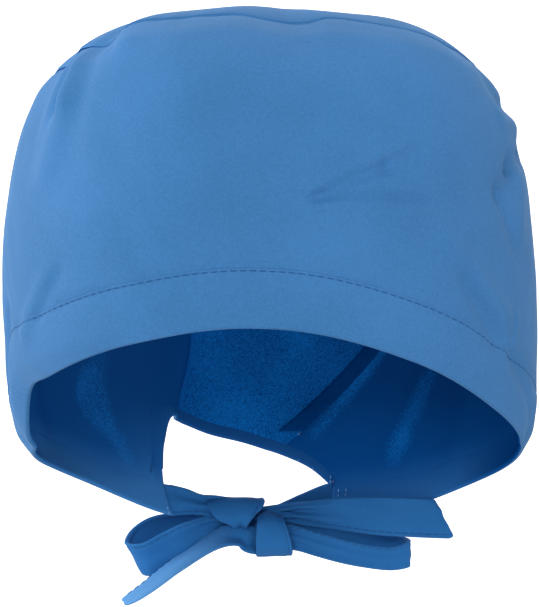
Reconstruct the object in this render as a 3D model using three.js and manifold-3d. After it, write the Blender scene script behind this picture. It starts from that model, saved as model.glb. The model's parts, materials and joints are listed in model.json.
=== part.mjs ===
// A tie-back scrub cap in its worn shape, life size, in millimetres.
// +Z is up, the front of the cap faces -Y, and left and right are as seen from the front.
// The origin is the middle of the head at the height of the front hem's lower edge.
//
// Places on the wall are given by an angle round the head (0 at the front, 90 at the right,
// 180 at the back) and by a rise, the share of the way up from the lower edge to the crown seam.

import * as THREE from 'three';
import { mergeVertices } from 'three/addons/utils/BufferGeometryUtils.js';
import Module from 'manifold-3d';

const wasm = await Module();
wasm.setup();

// ---------------------------------------------------------------- driving dimensions

const CLOTH = 1.2; // wall of one layer, with its seam allowances pressed flat
const HEM_CLOTH = 2.2; // the turned hems are two layers
const SEAM_GAP = 0.3; // clear space that keeps neighbouring panels separate solids
const HEM_HEIGHT = 20;
const ARCH_HEM = 8.5;
const OVAL_POWER = 2.2; // 2 is an ellipse, more is squarer
const CROWN_HEIGHT = 113;
const CROWN_BULGE = 4; // how flat the crown is: a higher power is flatter
const CROWN_CENTRE_Y = 8;
const TIE_CLOTH = 2;
const KNOT_CLEARANCE = 0.6;

// Lower edge and crown seam, as heights above the origin.
const EDGES = [
  { angle: -150, rim: -71.5, seam: 87 },
  { angle: -120, rim: -56, seam: 84 },
  { angle: -90, rim: -42, seam: 88 },
  { angle: -75, rim: -22, seam: 93 },
  { angle: -60, rim: -16.5, seam: 98 },
  { angle: -30, rim: -4.9, seam: 104 },
  { angle: 0, rim: 0.4, seam: 105.5 },
  { angle: 30, rim: -10.7, seam: 103.5 },
  { angle: 60, rim: -29, seam: 97 },
  { angle: 90, rim: -44.5, seam: 86 },
  { angle: 120, rim: -57.3, seam: 83 },
  { angle: 150, rim: -70.5, seam: 86 },
  { angle: 180, rim: -75, seam: 89 },
];

// Level sections of the wall: reach from the axis to the left, right, front and back.
const SECTIONS = [
  { rise: 0, left: 86.5, right: 90.5, front: 96, back: 90 },
  { rise: 0.06, left: 92.2, right: 94.2, front: 97.3, back: 92.3 },
  { rise: 0.17, left: 94.2, right: 95.3, front: 99, back: 95 },
  { rise: 0.46, left: 95.2, right: 95, front: 102.5, back: 101 },
  { rise: 0.74, left: 91, right: 91, front: 98, back: 103 },
  { rise: 0.93, left: 84, right: 84, front: 82, back: 95 },
  { rise: 1, left: 78, right: 77, front: 62, back: 82 },
];

// Back opening, from its right corner over the arch to its left corner: the open edge,
// and the line where its narrow hem ends and the panels begin.
const ARCH = [
  { share: 0, edgeAngle: 166.8, edge: -62.5, topAngle: 166.8, top: -53.3 },
  { share: 0.1, edgeAngle: 171.6, edge: -55.6, topAngle: 171.6, top: -46.8 },
  { share: 0.2, edgeAngle: 176, edge: -51.6, topAngle: 176, top: -42.8 },
  { share: 0.35, edgeAngle: 184, edge: -45.9, topAngle: 184, top: -37.2 },
  { share: 0.5, edgeAngle: 192.7, edge: -42, topAngle: 193, top: -33.3 },
  { share: 0.62, edgeAngle: 199.5, edge: -37.5, topAngle: 200.5, top: -28.2 },
  { share: 0.7, edgeAngle: 205, edge: -34.2, topAngle: 209.5, top: -28 },
  { share: 0.82, edgeAngle: 209.3, edge: -44, topAngle: 214.3, top: -38 },
  { share: 1, edgeAngle: 210, edge: -51, topAngle: 215.2, top: -48.6 },
];

// The panels' upright lines lean as they rise, because the back panel is a fan: the angle of
// a line at the panels' lower edge, at FAN_MIDDLE of the way up, and at the crown seam.
const FAN_MIDDLE = 0.22;
const LEFT_SEAM = 202;
const RIGHT_SEAM = 176;
const FAN = [
  { low: LEFT_SEAM - 360, middle: -161.5, top: -124 },
  { low: -90, middle: -90, top: -90 },
  { low: 90, middle: 90, top: 90 },
  { low: RIGHT_SEAM, middle: 160.5, top: 124 },
  { low: LEFT_SEAM, middle: 198.5, top: 236 },
];

// The deep pleat beside the opening's left corner stands in towards the head.
const PLEAT_SLOW_SIDE = 42; // degrees from its ridge to the smooth wall on the left
const PLEAT_STEEP_SIDE = 5; // and on the right, where the back panel returns behind it
const PLEAT = [
  { height: -60, angle: 210, depth: 14 },
  { height: -35, angle: 205.8, depth: 14 },
  { height: -20, angle: 202.7, depth: 12.5 },
  { height: -5, angle: 200.3, depth: 10.5 },
  { height: 20, angle: 198, depth: 6 },
  { height: 60, angle: 200, depth: 0 },
];

// Creases and dents: a line from one place to another, its half width and its depth inwards.
const FOLDS = [
  { angle: -50.5, rise: 0.95, toAngle: -47.5, toRise: 0.6, width: 5, depth: 3 }, // left tuck
  { angle: -57, rise: 0.88, toAngle: -54, toRise: 0.62, width: 6, depth: -1.5 },
  { angle: -57, rise: 0.26, toAngle: -46, toRise: 0.36, width: 6, depth: 1 },
  { angle: -76, rise: 0.24, toAngle: -92, toRise: 0.03, width: 7, depth: 2 },
  { angle: 85, rise: 0.97, toAngle: 76, toRise: 0.82, width: 4, depth: 2.5 }, // right tucks
  { angle: 72, rise: 0.8, toAngle: 58, toRise: 0.62, width: 7, depth: 2.5 },
  { angle: 7, rise: 0.43, toAngle: 28, toRise: 0.61, width: 6, depth: 1.2 }, // front crease
  { angle: 21, rise: 0.46, toAngle: 30, toRise: 0.48, width: 5, depth: 1 },
  { angle: 34, rise: 0.32, toAngle: 54, toRise: 0.21, width: 9, depth: 1.5 },
  { angle: 56, rise: 0.24, toAngle: 63, toRise: 0.16, width: 5, depth: 1.5 }, // right temple
  { angle: 63, rise: 0.16, toAngle: 86, toRise: 0.05, width: 6, depth: 1.5 },
  { angle: 3, rise: 0.99, toAngle: 9, toRise: 0.95, width: 5, depth: 2 }, // dent at the crown
  { angle: 132, rise: 0.1, toAngle: 118, toRise: 0.5, width: 10, depth: 2.5 },
  { angle: -112, rise: 0.1, toAngle: -102, toRise: 0.5, width: 10, depth: 2.5 },
  { angle: 152, rise: 0.2, toAngle: 138, toRise: 0.55, width: 8, depth: -2 },
  { angle: 184, rise: 0.3, toAngle: 184, toRise: 0.6, width: 6, depth: 2 }, // over the opening
  { angle: 172, rise: 0.3, toAngle: 164, toRise: 0.7, width: 7, depth: -2 },
];

// Tie straps, station by station along the middle of the strap. lean turns the strap's width
// away from the upright, about its own length.
const LEFT_LEAD = [
  { x: -46.9, y: 66.1, z: -66.3, width: 12, lean: -16 },
  { x: -41.2, y: 69.8, z: -66.5, width: 12, lean: -12 },
  { x: -34, y: 75.5, z: -67.8, width: 11, lean: 0 },
  { x: -26, y: 80.5, z: -69, width: 9, lean: 10 },
  { x: -16, y: 84, z: -71, width: 8, lean: 20 },
];
const RIGHT_LEAD = [
  { x: 34.1, y: 88.6, z: -66.3, width: 12, lean: 13 },
  { x: 25, y: 91.5, z: -66.6, width: 12, lean: 10 },
  { x: 14, y: 90.5, z: -70, width: 10.5, lean: 0 },
  { x: 1, y: 87, z: -75, width: 9, lean: 0 },
];
const LEFT_LOOP = [
  { x: -14, y: 87, z: -76, width: 9, lean: 0 },
  { x: -26, y: 92, z: -77, width: 10.5, lean: 0 },
  { x: -42, y: 93.5, z: -80, width: 14, lean: 0 },
  { x: -51.5, y: 90.5, z: -84.5, width: 13.5, lean: 0 },
  { x: -53.8, y: 84, z: -88, width: 13.5, lean: 0 },
  { x: -46, y: 78.5, z: -89, width: 13.5, lean: 5 },
  { x: -31, y: 78, z: -83, width: 12.5, lean: 10 },
  { x: -14, y: 82.5, z: -77, width: 9, lean: 10 },
];
const RIGHT_LOOP = [
  { x: 2, y: 80, z: -82.5, width: 9, lean: 0 },
  { x: 20, y: 75.5, z: -85, width: 10.5, lean: 10 },
  { x: 36, y: 73.5, z: -87.5, width: 10.5, lean: 10 },
  { x: 48, y: 75, z: -88.5, width: 11, lean: 5 },
  { x: 54.5, y: 81, z: -87, width: 11.5, lean: 0 },
  { x: 49, y: 89, z: -86.5, width: 12, lean: 0 },
  { x: 32, y: 92.5, z: -82.5, width: 12, lean: 0 },
  { x: 6, y: 88, z: -79, width: 9, lean: 0 },
];
const LEFT_TAIL = [
  { x: -10, y: 81, z: -80, width: 10, lean: 40 },
  { x: -26, y: 74.5, z: -83.6, width: 14, lean: 66 },
  { x: -36, y: 72, z: -90, width: 15, lean: 70 },
  { x: -45.5, y: 71, z: -97.3, width: 15, lean: 70 },
  { x: -54.5, y: 71, z: -104.2, width: 15, lean: 70 },
];
const RIGHT_TAIL = [
  { x: 4, y: 84, z: -75, width: 10, lean: 0 },
  { x: 20, y: 80.5, z: -74, width: 14, lean: 0 },
  { x: 42, y: 73.5, z: -73.7, width: 15, lean: 0 },
  { x: 67, y: 62, z: -72.6, width: 14, lean: 0 },
];
// The two halves of the knot: middle, half size, and turn about the front-to-back axis.
const LEFT_KNOT = { x: -14, y: 84, z: -72.8, reach: [11.5, 7, 7.5], turn: 12 };
const RIGHT_KNOT = { x: -1, y: 82, z: -80.8, reach: [8.5, 8, 9.8], turn: -25 };

// ---------------------------------------------------------------- tables and curves

const DEGREE = THREE.MathUtils.DEG2RAD;
const { clamp, lerp, smoothstep } = THREE.MathUtils;

/** Value of a column at x: a smooth curve through the rows, in order of their key column. */
function along(rows, key, column, x) {
  const next = rows.findIndex((row) => row[key] > x);
  const i = next < 0 ? rows.length - 2 : Math.max(next - 1, 0);
  const slope = (j) => {
    const before = rows[Math.max(j - 1, 0)];
    const after = rows[Math.min(j + 1, rows.length - 1)];
    return (after[column] - before[column]) / (after[key] - before[key]);
  };
  const span = rows[i + 1][key] - rows[i][key];
  const s = clamp((x - rows[i][key]) / span, 0, 1);
  const ends = (2 * s ** 3 - 3 * s ** 2 + 1) * rows[i][column]
    + (3 * s ** 2 - 2 * s ** 3) * rows[i + 1][column];
  const slopes = (s ** 3 - 2 * s ** 2 + s) * slope(i) + (s ** 3 - s ** 2) * slope(i + 1);
  return ends + slopes * span;
}

/** Straight-line value of a column at x. */
function between(rows, key, column, x) {
  const next = rows.findIndex((row) => row[key] > x);
  const i = next < 0 ? rows.length - 2 : Math.max(next - 1, 0);
  const share = clamp((x - rows[i][key]) / (rows[i + 1][key] - rows[i][key]), 0, 1);
  return lerp(rows[i][column], rows[i + 1][column], share);
}

/** Numbers from a to b in equal steps, both ends included. */
function spread(a, b, steps) {
  return Array.from({ length: steps + 1 }, (_, i) => lerp(a, b, i / steps));
}

const turned = (row, by) => ({ ...row, angle: row.angle + by });
const EDGES_ROUND = [
  ...EDGES.slice(-3).map((row) => turned(row, -360)),
  ...EDGES,
  ...EDGES.slice(0, 3).map((row) => turned(row, 360)),
];

/** Height of the rim or the crown seam at an angle. */
function edgeHeight(angle, which) {
  const around = THREE.MathUtils.euclideanModulo(angle + 180, 360) - 180;
  return along(EDGES_ROUND, 'angle', which, around);
}

// ---------------------------------------------------------------- the wall's surface

/** How far the pleat beside the opening stands in, in mm. */
function pleatDepth(angle, height) {
  const off = THREE.MathUtils.euclideanModulo(angle, 360) - along(PLEAT, 'height', 'angle', height);
  const side = off < 0 ? 1 + off / PLEAT_STEEP_SIDE : 1 - off / PLEAT_SLOW_SIDE;
  return along(PLEAT, 'height', 'depth', height) * smoothstep(side, 0, 1);
}

/** How far the creases press the wall in at a place, in mm. */
function foldDepth(angle, rise) {
  const acrossDegree = SECTIONS[3].left * DEGREE;
  const upRise = CROWN_HEIGHT;
  let depth = 0;
  for (const fold of FOLDS) {
    const run = new THREE.Vector2(
      (fold.toAngle - fold.angle) * acrossDegree,
      (fold.toRise - fold.rise) * upRise,
    );
    const turn = THREE.MathUtils.euclideanModulo(angle - fold.angle + 180, 360) - 180;
    const place = new THREE.Vector2(turn * acrossDegree, (rise - fold.rise) * upRise);
    const share = clamp(place.dot(run) / run.lengthSq(), 0, 1);
    const off = place.distanceTo(run.clone().multiplyScalar(share));
    depth += fold.depth * Math.exp(-((off / fold.width) ** 2));
  }
  return depth;
}

/** Point of the outer surface at an angle and a rise. */
function wallPoint(angle, rise) {
  const low = edgeHeight(angle, 'rim');
  const height = lerp(low, edgeHeight(angle, 'seam'), rise);
  const sine = Math.sin(angle * DEGREE);
  const cosine = Math.cos(angle * DEGREE);
  const sideways = along(SECTIONS, 'rise', sine < 0 ? 'left' : 'right', rise);
  const lengthways = along(SECTIONS, 'rise', cosine > 0 ? 'front' : 'back', rise);
  const inwards = pleatDepth(angle, height) + foldDepth(angle, rise);
  const power = 2 / OVAL_POWER;
  return new THREE.Vector3(
    sideways * Math.sign(sine) * Math.abs(sine) ** power - inwards * sine,
    -lengthways * Math.sign(cosine) * Math.abs(cosine) ** power + inwards * cosine,
    height,
  );
}

/** Rise of a height at an angle. */
function riseOf(angle, height) {
  const low = edgeHeight(angle, 'rim');
  return (height - low) / (edgeHeight(angle, 'seam') - low);
}

/** Point of the crown: ring is 0 at the middle and 1 at the seam. */
function crownPoint(angle, ring) {
  const seam = wallPoint(angle, 1);
  return new THREE.Vector3(
    seam.x * ring,
    lerp(CROWN_CENTRE_Y, seam.y, ring),
    lerp(CROWN_HEIGHT, seam.z, ring ** CROWN_BULGE),
  );
}

/** Height where the panels begin: the top line of the brow hem or of the opening's hem. */
function panelFloor(angle) {
  const around = THREE.MathUtils.euclideanModulo(angle, 360);
  const first = ARCH[0].topAngle;
  const last = ARCH[ARCH.length - 1].topAngle;
  if (around > first && around < last) return between(ARCH, 'topAngle', 'top', around);
  return edgeHeight(angle, 'rim') + HEM_HEIGHT;
}

/** Angle of an upright panel line that starts at angle low, when share of the way up. */
function fanAngle(low, share) {
  const middle = between(FAN, 'low', 'middle', low) - low;
  const top = between(FAN, 'low', 'top', low) - low;
  const bend = (middle - FAN_MIDDLE * top) / (FAN_MIDDLE ** 2 - FAN_MIDDLE);
  return low + bend * share ** 2 + (top - bend) * share;
}

/** Place on the panels at an upright line and a share of the way from its foot to the seam. */
function panelPoint(low, share) {
  const angle = fanAngle(low, share);
  const foot = riseOf(low, panelFloor(low));
  return wallPoint(angle, lerp(foot, 1, share));
}

// ---------------------------------------------------------------- solids

/** Closed solid between two grids of points, rows of columns; equal points are merged. */
function solidBetween(outer, inner) {
  const rows = outer.length;
  const columns = outer[0].length;
  const points = [...outer.flat(), ...inner.flat()];
  const at = (side, row, column) => side * rows * columns + row * columns + column;
  const quads = [];
  for (let row = 0; row < rows - 1; row += 1) {
    for (let column = 0; column < columns - 1; column += 1) {
      const corners = [[row, column], [row, column + 1], [row + 1, column + 1], [row + 1, column]];
      quads.push(corners.map(([i, j]) => at(0, i, j)));
      quads.push(corners.map(([i, j]) => at(1, i, j)).reverse());
    }
  }
  const edge = (path) => {
    for (let k = 0; k < path.length - 1; k += 1) {
      const [here, next] = [path[k], path[k + 1]];
      quads.push([at(0, ...next), at(0, ...here), at(1, ...here), at(1, ...next)]);
    }
  };
  const rowList = [...Array(rows).keys()];
  const columnList = [...Array(columns).keys()];
  edge(columnList.map((column) => [0, column]));
  edge(columnList.map((column) => [rows - 1, column]).reverse());
  if (outer[0][0].distanceTo(outer[0][columns - 1]) > SEAM_GAP / 2) {
    edge(rowList.map((row) => [row, columns - 1]));
    edge(rowList.map((row) => [row, 0]).reverse());
  }
  const geometry = new THREE.BufferGeometry().setFromPoints(points);
  geometry.setIndex(quads.flatMap(([a, b, c, d]) => [a, b, c, a, c, d]));
  return tidied(geometry);
}

/** The geometry with equal points merged, empty triangles dropped and faces outwards. */
function tidied(geometry) {
  const merged = mergeVertices(geometry, 1e-4);
  const index = Array.from(merged.index.array);
  const kept = [];
  let volume = 0;
  const corner = [new THREE.Vector3(), new THREE.Vector3(), new THREE.Vector3()];
  for (let i = 0; i < index.length; i += 3) {
    const [a, b, c] = index.slice(i, i + 3);
    if (a !== b && b !== c && c !== a) {
      kept.push(a, b, c);
      [a, b, c].forEach((vertex, k) => corner[k].fromBufferAttribute(merged.attributes.position, vertex));
      volume += corner[0].dot(corner[1].cross(corner[2]));
    }
  }
  merged.setIndex(volume < 0 ? kept.reverse() : kept);
  merged.computeVertexNormals();
  return merged;
}

/**
 * Cloth of a thickness under a surface, which is a function of two shares from 0 to 1.
 * The top row is mitred upright where the cloth meets the crown.
 */
function cloth(surface, acrossShares, upShares, thickness, meetsCrown = false) {
  const step = 1e-3;
  const outer = upShares.map((up) => acrossShares.map((across) => surface(across, up)));
  const inner = upShares.map((up, row) => acrossShares.map((across, column) => {
    const alongStep = surface(across + step, up).sub(surface(across - step, up));
    const upStep = surface(across, Math.min(up + step, 1)).sub(surface(across, Math.max(up - step, 0)));
    const normal = alongStep.cross(upStep).normalize();
    if (meetsCrown && up === 1) normal.set(0, 0, 1);
    return outer[row][column].clone().addScaledVector(normal, -thickness);
  }));
  return solidBetween(outer, inner);
}

/** Flat strap with square edges along a table of stations; grow thickens it all round. */
function strap(stations, grow = 0) {
  const steps = (stations.length - 1) * 4;
  const rows = stations.map((station, i) => ({ ...station, share: i / (stations.length - 1) }));
  const value = (column, share) => along(rows, 'share', column, share);
  const middle = (share) => new THREE.Vector3(...['x', 'y', 'z'].map((axis) => value(axis, share)));
  const shares = spread(0, 1, steps);
  const faces = [1, -1].map((side) => shares.map((share) => {
    const ahead = middle(Math.min(share + 0.01, 1)).sub(middle(Math.max(share - 0.01, 0))).normalize();
    const flat = new THREE.Vector3().crossVectors(ahead, new THREE.Vector3(0, 0, 1)).normalize();
    const wide = new THREE.Vector3().crossVectors(flat, ahead);
    const lean = value('lean', share) * DEGREE;
    flat.applyAxisAngle(ahead, lean);
    wide.applyAxisAngle(ahead, lean);
    const halfWidth = value('width', share) / 2 + grow;
    const lengthen = { 0: -grow, 1: grow }[share] ?? 0;
    return [-1, 0, 1].map((across) => middle(share)
      .addScaledVector(ahead, lengthen)
      .addScaledVector(wide, across * halfWidth)
      .addScaledVector(flat, side * (TIE_CLOTH / 2 + grow)));
  }));
  return solidBetween(faces[0], faces[1]);
}

/** Rounded lump of wrapped cloth, one half of the knot. */
function knotHalf({ x, y, z, reach, turn }, grow = 0) {
  const geometry = new THREE.SphereGeometry(1, 16, 10);
  geometry.scale(...reach.map((half) => half + grow));
  geometry.rotateY(turn * DEGREE);
  geometry.translate(x, y, z);
  geometry.deleteAttribute('normal');
  geometry.deleteAttribute('uv');
  return tidied(geometry);
}

/** A closed geometry as a manifold-3d solid. */
function solid(geometry) {
  return new wasm.Manifold(new wasm.Mesh({
    numProp: 3,
    vertProperties: geometry.attributes.position.array,
    triVerts: new Uint32Array(geometry.index.array),
  }));
}

/** A manifold-3d solid as a geometry. */
function geometryOf(manifold) {
  const mesh = manifold.getMesh();
  const geometry = new THREE.BufferGeometry();
  geometry.setAttribute('position', new THREE.BufferAttribute(mesh.vertProperties, 3));
  geometry.setIndex(Array.from(mesh.triVerts));
  geometry.computeVertexNormals();
  return geometry;
}

/** One tie: its sewn lead, its half of the knot, its loop and its tail, joined. */
function tie(straps, knot, grow = 0) {
  const pieces = straps.map((stations) => solid(strap(stations, grow)));
  return pieces.reduce((whole, piece) => whole.add(piece), solid(knotHalf(knot, grow)));
}

// ---------------------------------------------------------------- pieces

const GAP_DEGREES = SEAM_GAP / 2 / (SECTIONS[0].back * DEGREE);

/** Shares from 0 to 1 that crowd towards 1, where the wall turns over to the crown. */
const towardsCrown = (steps) => spread(0, 1, steps).map((share) => 1 - (1 - share) ** 1.4);

/** Shares of the way from one angle to another, at given angles between them. */
const sharesOf = (angles) => angles
  .map((angle) => (angle - angles[0]) / (angles[angles.length - 1] - angles[0]));

// Upright lines of the panels, by the angle of their feet: closer together beside the pleat.
const SIDE_LINES = [
  ...spread(LEFT_SEAM - 360, -144, 12),
  ...spread(-142, -110, 8),
  ...spread(-105, 171, 46),
  RIGHT_SEAM,
];
const BACK_LINES = [...spread(RIGHT_SEAM, 194, 6), ...spread(195, LEFT_SEAM, 7)];

/** Part of the panels between two upright lines, through a list of lines. */
function panel(lines) {
  const first = lines[0] + GAP_DEGREES;
  const last = lines[lines.length - 1] - GAP_DEGREES;
  const surface = (across, up) => panelPoint(lerp(first, last, across), up);
  return cloth(surface, sharesOf(lines), towardsCrown(10), CLOTH, true);
}

/** Front and both sides, one wall from the left back seam round to the right one. */
function sideBand() {
  return panel(SIDE_LINES);
}

/** The fan at the back. */
function backPanel() {
  return panel(BACK_LINES);
}

/** The oval top, whose edge has the same corners as the panels' top edges. */
function crownPanel() {
  const edgeShare = 1 - SEAM_GAP / SECTIONS[SECTIONS.length - 1].front;
  const rings = [0, 0.4, 0.7, 0.88, edgeShare];
  const angles = [...SIDE_LINES, ...BACK_LINES.slice(1)].map((low) => fanAngle(low, 1));
  const outer = rings.map((ring) => angles.map((angle) => crownPoint(angle, ring)));
  const down = new THREE.Vector3(0, 0, -CLOTH);
  return solidBetween(outer, outer.map((row) => row.map((point) => point.clone().add(down))));
}

/** The deep turned hem from the left back corner round the front to the right one. */
function browHem() {
  const from = ARCH[ARCH.length - 1].edgeAngle - 360 + GAP_DEGREES;
  const to = ARCH[0].edgeAngle - GAP_DEGREES;
  const lines = [from, ...SIDE_LINES.filter((line) => line > from && line < to), to];
  const surface = (across, up) => {
    const angle = lerp(from, to, across);
    const height = edgeHeight(angle, 'rim') + (HEM_HEIGHT - SEAM_GAP) * up;
    return wallPoint(angle, riseOf(angle, height));
  };
  return cloth(surface, sharesOf(lines), spread(0, 1, 3), HEM_CLOTH);
}

/** The narrow turned hem along the arch of the back opening. */
function backHem() {
  const widest = 1 - (2 * SEAM_GAP) / ARCH_HEM; // its facets differ a little from the panels'
  const surface = (across, up) => {
    const place = (low, high) => lerp(
      between(ARCH, 'share', low, across),
      between(ARCH, 'share', high, across),
      up * widest,
    );
    const angle = place('edgeAngle', 'topAngle');
    return wallPoint(angle, riseOf(angle, place('edge', 'top')));
  };
  return cloth(surface, spread(0, 1, 32), [0, 0.5, 1], HEM_CLOTH);
}

const leftTie = tie([LEFT_LEAD, LEFT_LOOP, LEFT_TAIL], LEFT_KNOT);
const leftTieRoom = tie([LEFT_LEAD, LEFT_LOOP, LEFT_TAIL], LEFT_KNOT, KNOT_CLEARANCE);
const rightTie = tie([RIGHT_LEAD, RIGHT_LOOP, RIGHT_TAIL], RIGHT_KNOT).subtract(leftTieRoom);

// ---------------------------------------------------------------- the cap

const face = new THREE.MeshStandardMaterial({ color: 0x467db6, roughness: 0.85, metalness: 0 });
const shaded = new THREE.MeshStandardMaterial({ color: 0x366da6, roughness: 0.85, metalness: 0 });

const cap = new THREE.Group();
for (const [name, geometry, material] of [
  ['crown_panel', crownPanel(), face],
  ['side_band', sideBand(), face],
  ['back_panel', backPanel(), face],
  ['brow_hem', browHem(), face],
  ['back_hem', backHem(), face],
  ['left_tie', geometryOf(leftTie), shaded],
  ['right_tie', geometryOf(rightTie), shaded],
]) {
  const mesh = new THREE.Mesh(geometry, material.clone());
  mesh.name = name;
  cap.add(mesh);
}

export default cap;
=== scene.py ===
"""Looks of a tie-back scrub cap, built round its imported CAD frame.

Every cloth part of the cap is made again as fine cloth: panels, turned hems, the two straps
with their bow, and the thread that holds them together. Shapes are worked out in millimetres,
in the frame of the CAD part (+Z up, the front of the cap towards -Y, left and right as seen
from the front), and become metres when a mesh is made.

Places on the wall are given by an angle round the head (0 at the front, 90 at the right, 180
at the back) and by a rise, the share of the way up from the lower edge to the crown seam.
"""

from __future__ import annotations

import json
import logging
import math
from dataclasses import dataclass, field
from enum import Enum
from typing import NamedTuple, Sequence

import bpy
import numpy as np
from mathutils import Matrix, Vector

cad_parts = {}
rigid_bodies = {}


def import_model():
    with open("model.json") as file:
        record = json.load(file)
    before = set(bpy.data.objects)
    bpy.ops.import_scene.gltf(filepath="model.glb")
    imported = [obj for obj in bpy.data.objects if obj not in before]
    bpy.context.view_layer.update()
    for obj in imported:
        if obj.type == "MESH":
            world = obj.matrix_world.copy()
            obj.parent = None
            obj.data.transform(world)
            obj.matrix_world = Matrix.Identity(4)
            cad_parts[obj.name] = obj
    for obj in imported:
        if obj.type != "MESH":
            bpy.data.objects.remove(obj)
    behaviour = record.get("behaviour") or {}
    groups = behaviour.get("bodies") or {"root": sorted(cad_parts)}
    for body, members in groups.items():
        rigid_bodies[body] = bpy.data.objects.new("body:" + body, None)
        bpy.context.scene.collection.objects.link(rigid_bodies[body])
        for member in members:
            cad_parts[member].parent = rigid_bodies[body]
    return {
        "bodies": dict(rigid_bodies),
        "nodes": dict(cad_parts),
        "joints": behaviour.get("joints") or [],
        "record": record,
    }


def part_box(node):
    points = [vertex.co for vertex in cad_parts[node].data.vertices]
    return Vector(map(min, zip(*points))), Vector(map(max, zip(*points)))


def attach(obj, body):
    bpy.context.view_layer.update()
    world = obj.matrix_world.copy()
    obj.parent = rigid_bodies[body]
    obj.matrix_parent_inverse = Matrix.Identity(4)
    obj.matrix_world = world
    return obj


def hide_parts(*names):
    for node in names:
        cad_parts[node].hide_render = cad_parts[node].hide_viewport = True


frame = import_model()

Array = np.ndarray
Piece = bpy.types.Object

LOG = logging.getLogger("scrub_cap")
MM = 0.001
BODY = "root"
UV_LAYER = "weave"
NAP_LAYER = "nap"
# Layer of painted light: how far a face is painted paler where light falls on it.
PAINTED_LIGHT_LAYER = "painted_light"
CROWN_ROOM = 1.2  # mm between the middle of the crown and the top of the frame
STRAP_WIDTH = 15.0
ROLL_SHARES = (0, 0.07, 0.3, 0.62, 1)  # shares of an edge's radius where it gets its rows


# ---- tables


class Edge(NamedTuple):
    """Height of an edge of the wall at an angle."""

    angle: float
    height: float


class Section(NamedTuple):
    """Reach of a level section of the wall, from the axis to each side."""

    rise: float
    left: float
    right: float
    front: float
    back: float


class ArchRow(NamedTuple):
    """A place on the back opening: its open edge, and the top line of its narrow hem."""

    share: float
    edge_angle: float
    edge: float
    top_angle: float
    top: float


class FanRow(NamedTuple):
    """Angle of an upright panel line at its foot, part of the way up, and at the seam."""

    low: float
    middle: float
    top: float


class PleatRow(NamedTuple):
    """Where the ridge of the deep pleat is at a height, and how far it stands in."""

    height: float
    angle: float
    depth: float


class Crease(NamedTuple):
    """A crease from one place to another, its half width and its depth inwards, in mm."""

    angle: float
    rise: float
    to_angle: float
    to_rise: float
    width: float
    depth: float


class Station(NamedTuple):
    """A place along the middle of a strap, with its width, and its width's lean in degrees."""

    x: float
    y: float
    z: float
    width: float
    lean: float


# The lower edge, low at the back and raised over the brow.
RIM = (
    Edge(-150, -71.5), Edge(-120, -56), Edge(-90, -42), Edge(-75, -22), Edge(-60, -16.5),
    Edge(-30, -4.9), Edge(0, 0.4), Edge(30, -10.7), Edge(60, -29), Edge(90, -44.5),
    Edge(120, -57.3), Edge(150, -70.5), Edge(180, -75),
)
# The crown seam, with the small steps of its tucks.
SEAM = (
    Edge(-150, 87), Edge(-120, 84), Edge(-90, 88), Edge(-72, 91.4), Edge(-61, 93), Edge(-57, 97.2),
    Edge(-50, 98.1), Edge(-43, 98.1), Edge(-38.5, 102.8), Edge(-33, 105.4), Edge(-20, 106.2),
    Edge(-7, 107), Edge(3, 104.2), Edge(8, 104.2), Edge(13, 105.8), Edge(30, 103.4),
    Edge(42, 101.2), Edge(60, 95.5), Edge(90, 86), Edge(120, 83), Edge(150, 86), Edge(180, 89),
)
SECTIONS = (
    Section(0, 86.5, 90.5, 96, 90), Section(0.06, 92.2, 94.2, 97.3, 92.3),
    Section(0.17, 94.2, 95.3, 99, 95), Section(0.46, 95.2, 95, 102.5, 101),
    Section(0.74, 91, 91, 98, 103), Section(0.93, 84, 84, 82, 95), Section(1, 78, 77, 62, 82),
)
ARCH = (
    ArchRow(0, 166.8, -62.5, 166.8, -53.3), ArchRow(0.1, 171.6, -55.6, 171.6, -46.8),
    ArchRow(0.2, 176, -51.6, 176, -42.8), ArchRow(0.35, 184, -45.9, 184, -37.2),
    ArchRow(0.5, 192.7, -42, 193, -33.3), ArchRow(0.62, 199.5, -37.5, 200.5, -28.2),
    ArchRow(0.7, 205, -34.2, 209.5, -28), ArchRow(0.82, 207.7, -44, 213, -38),
    ArchRow(1, 208.4, -51, 213.8, -48.6),
)
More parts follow.
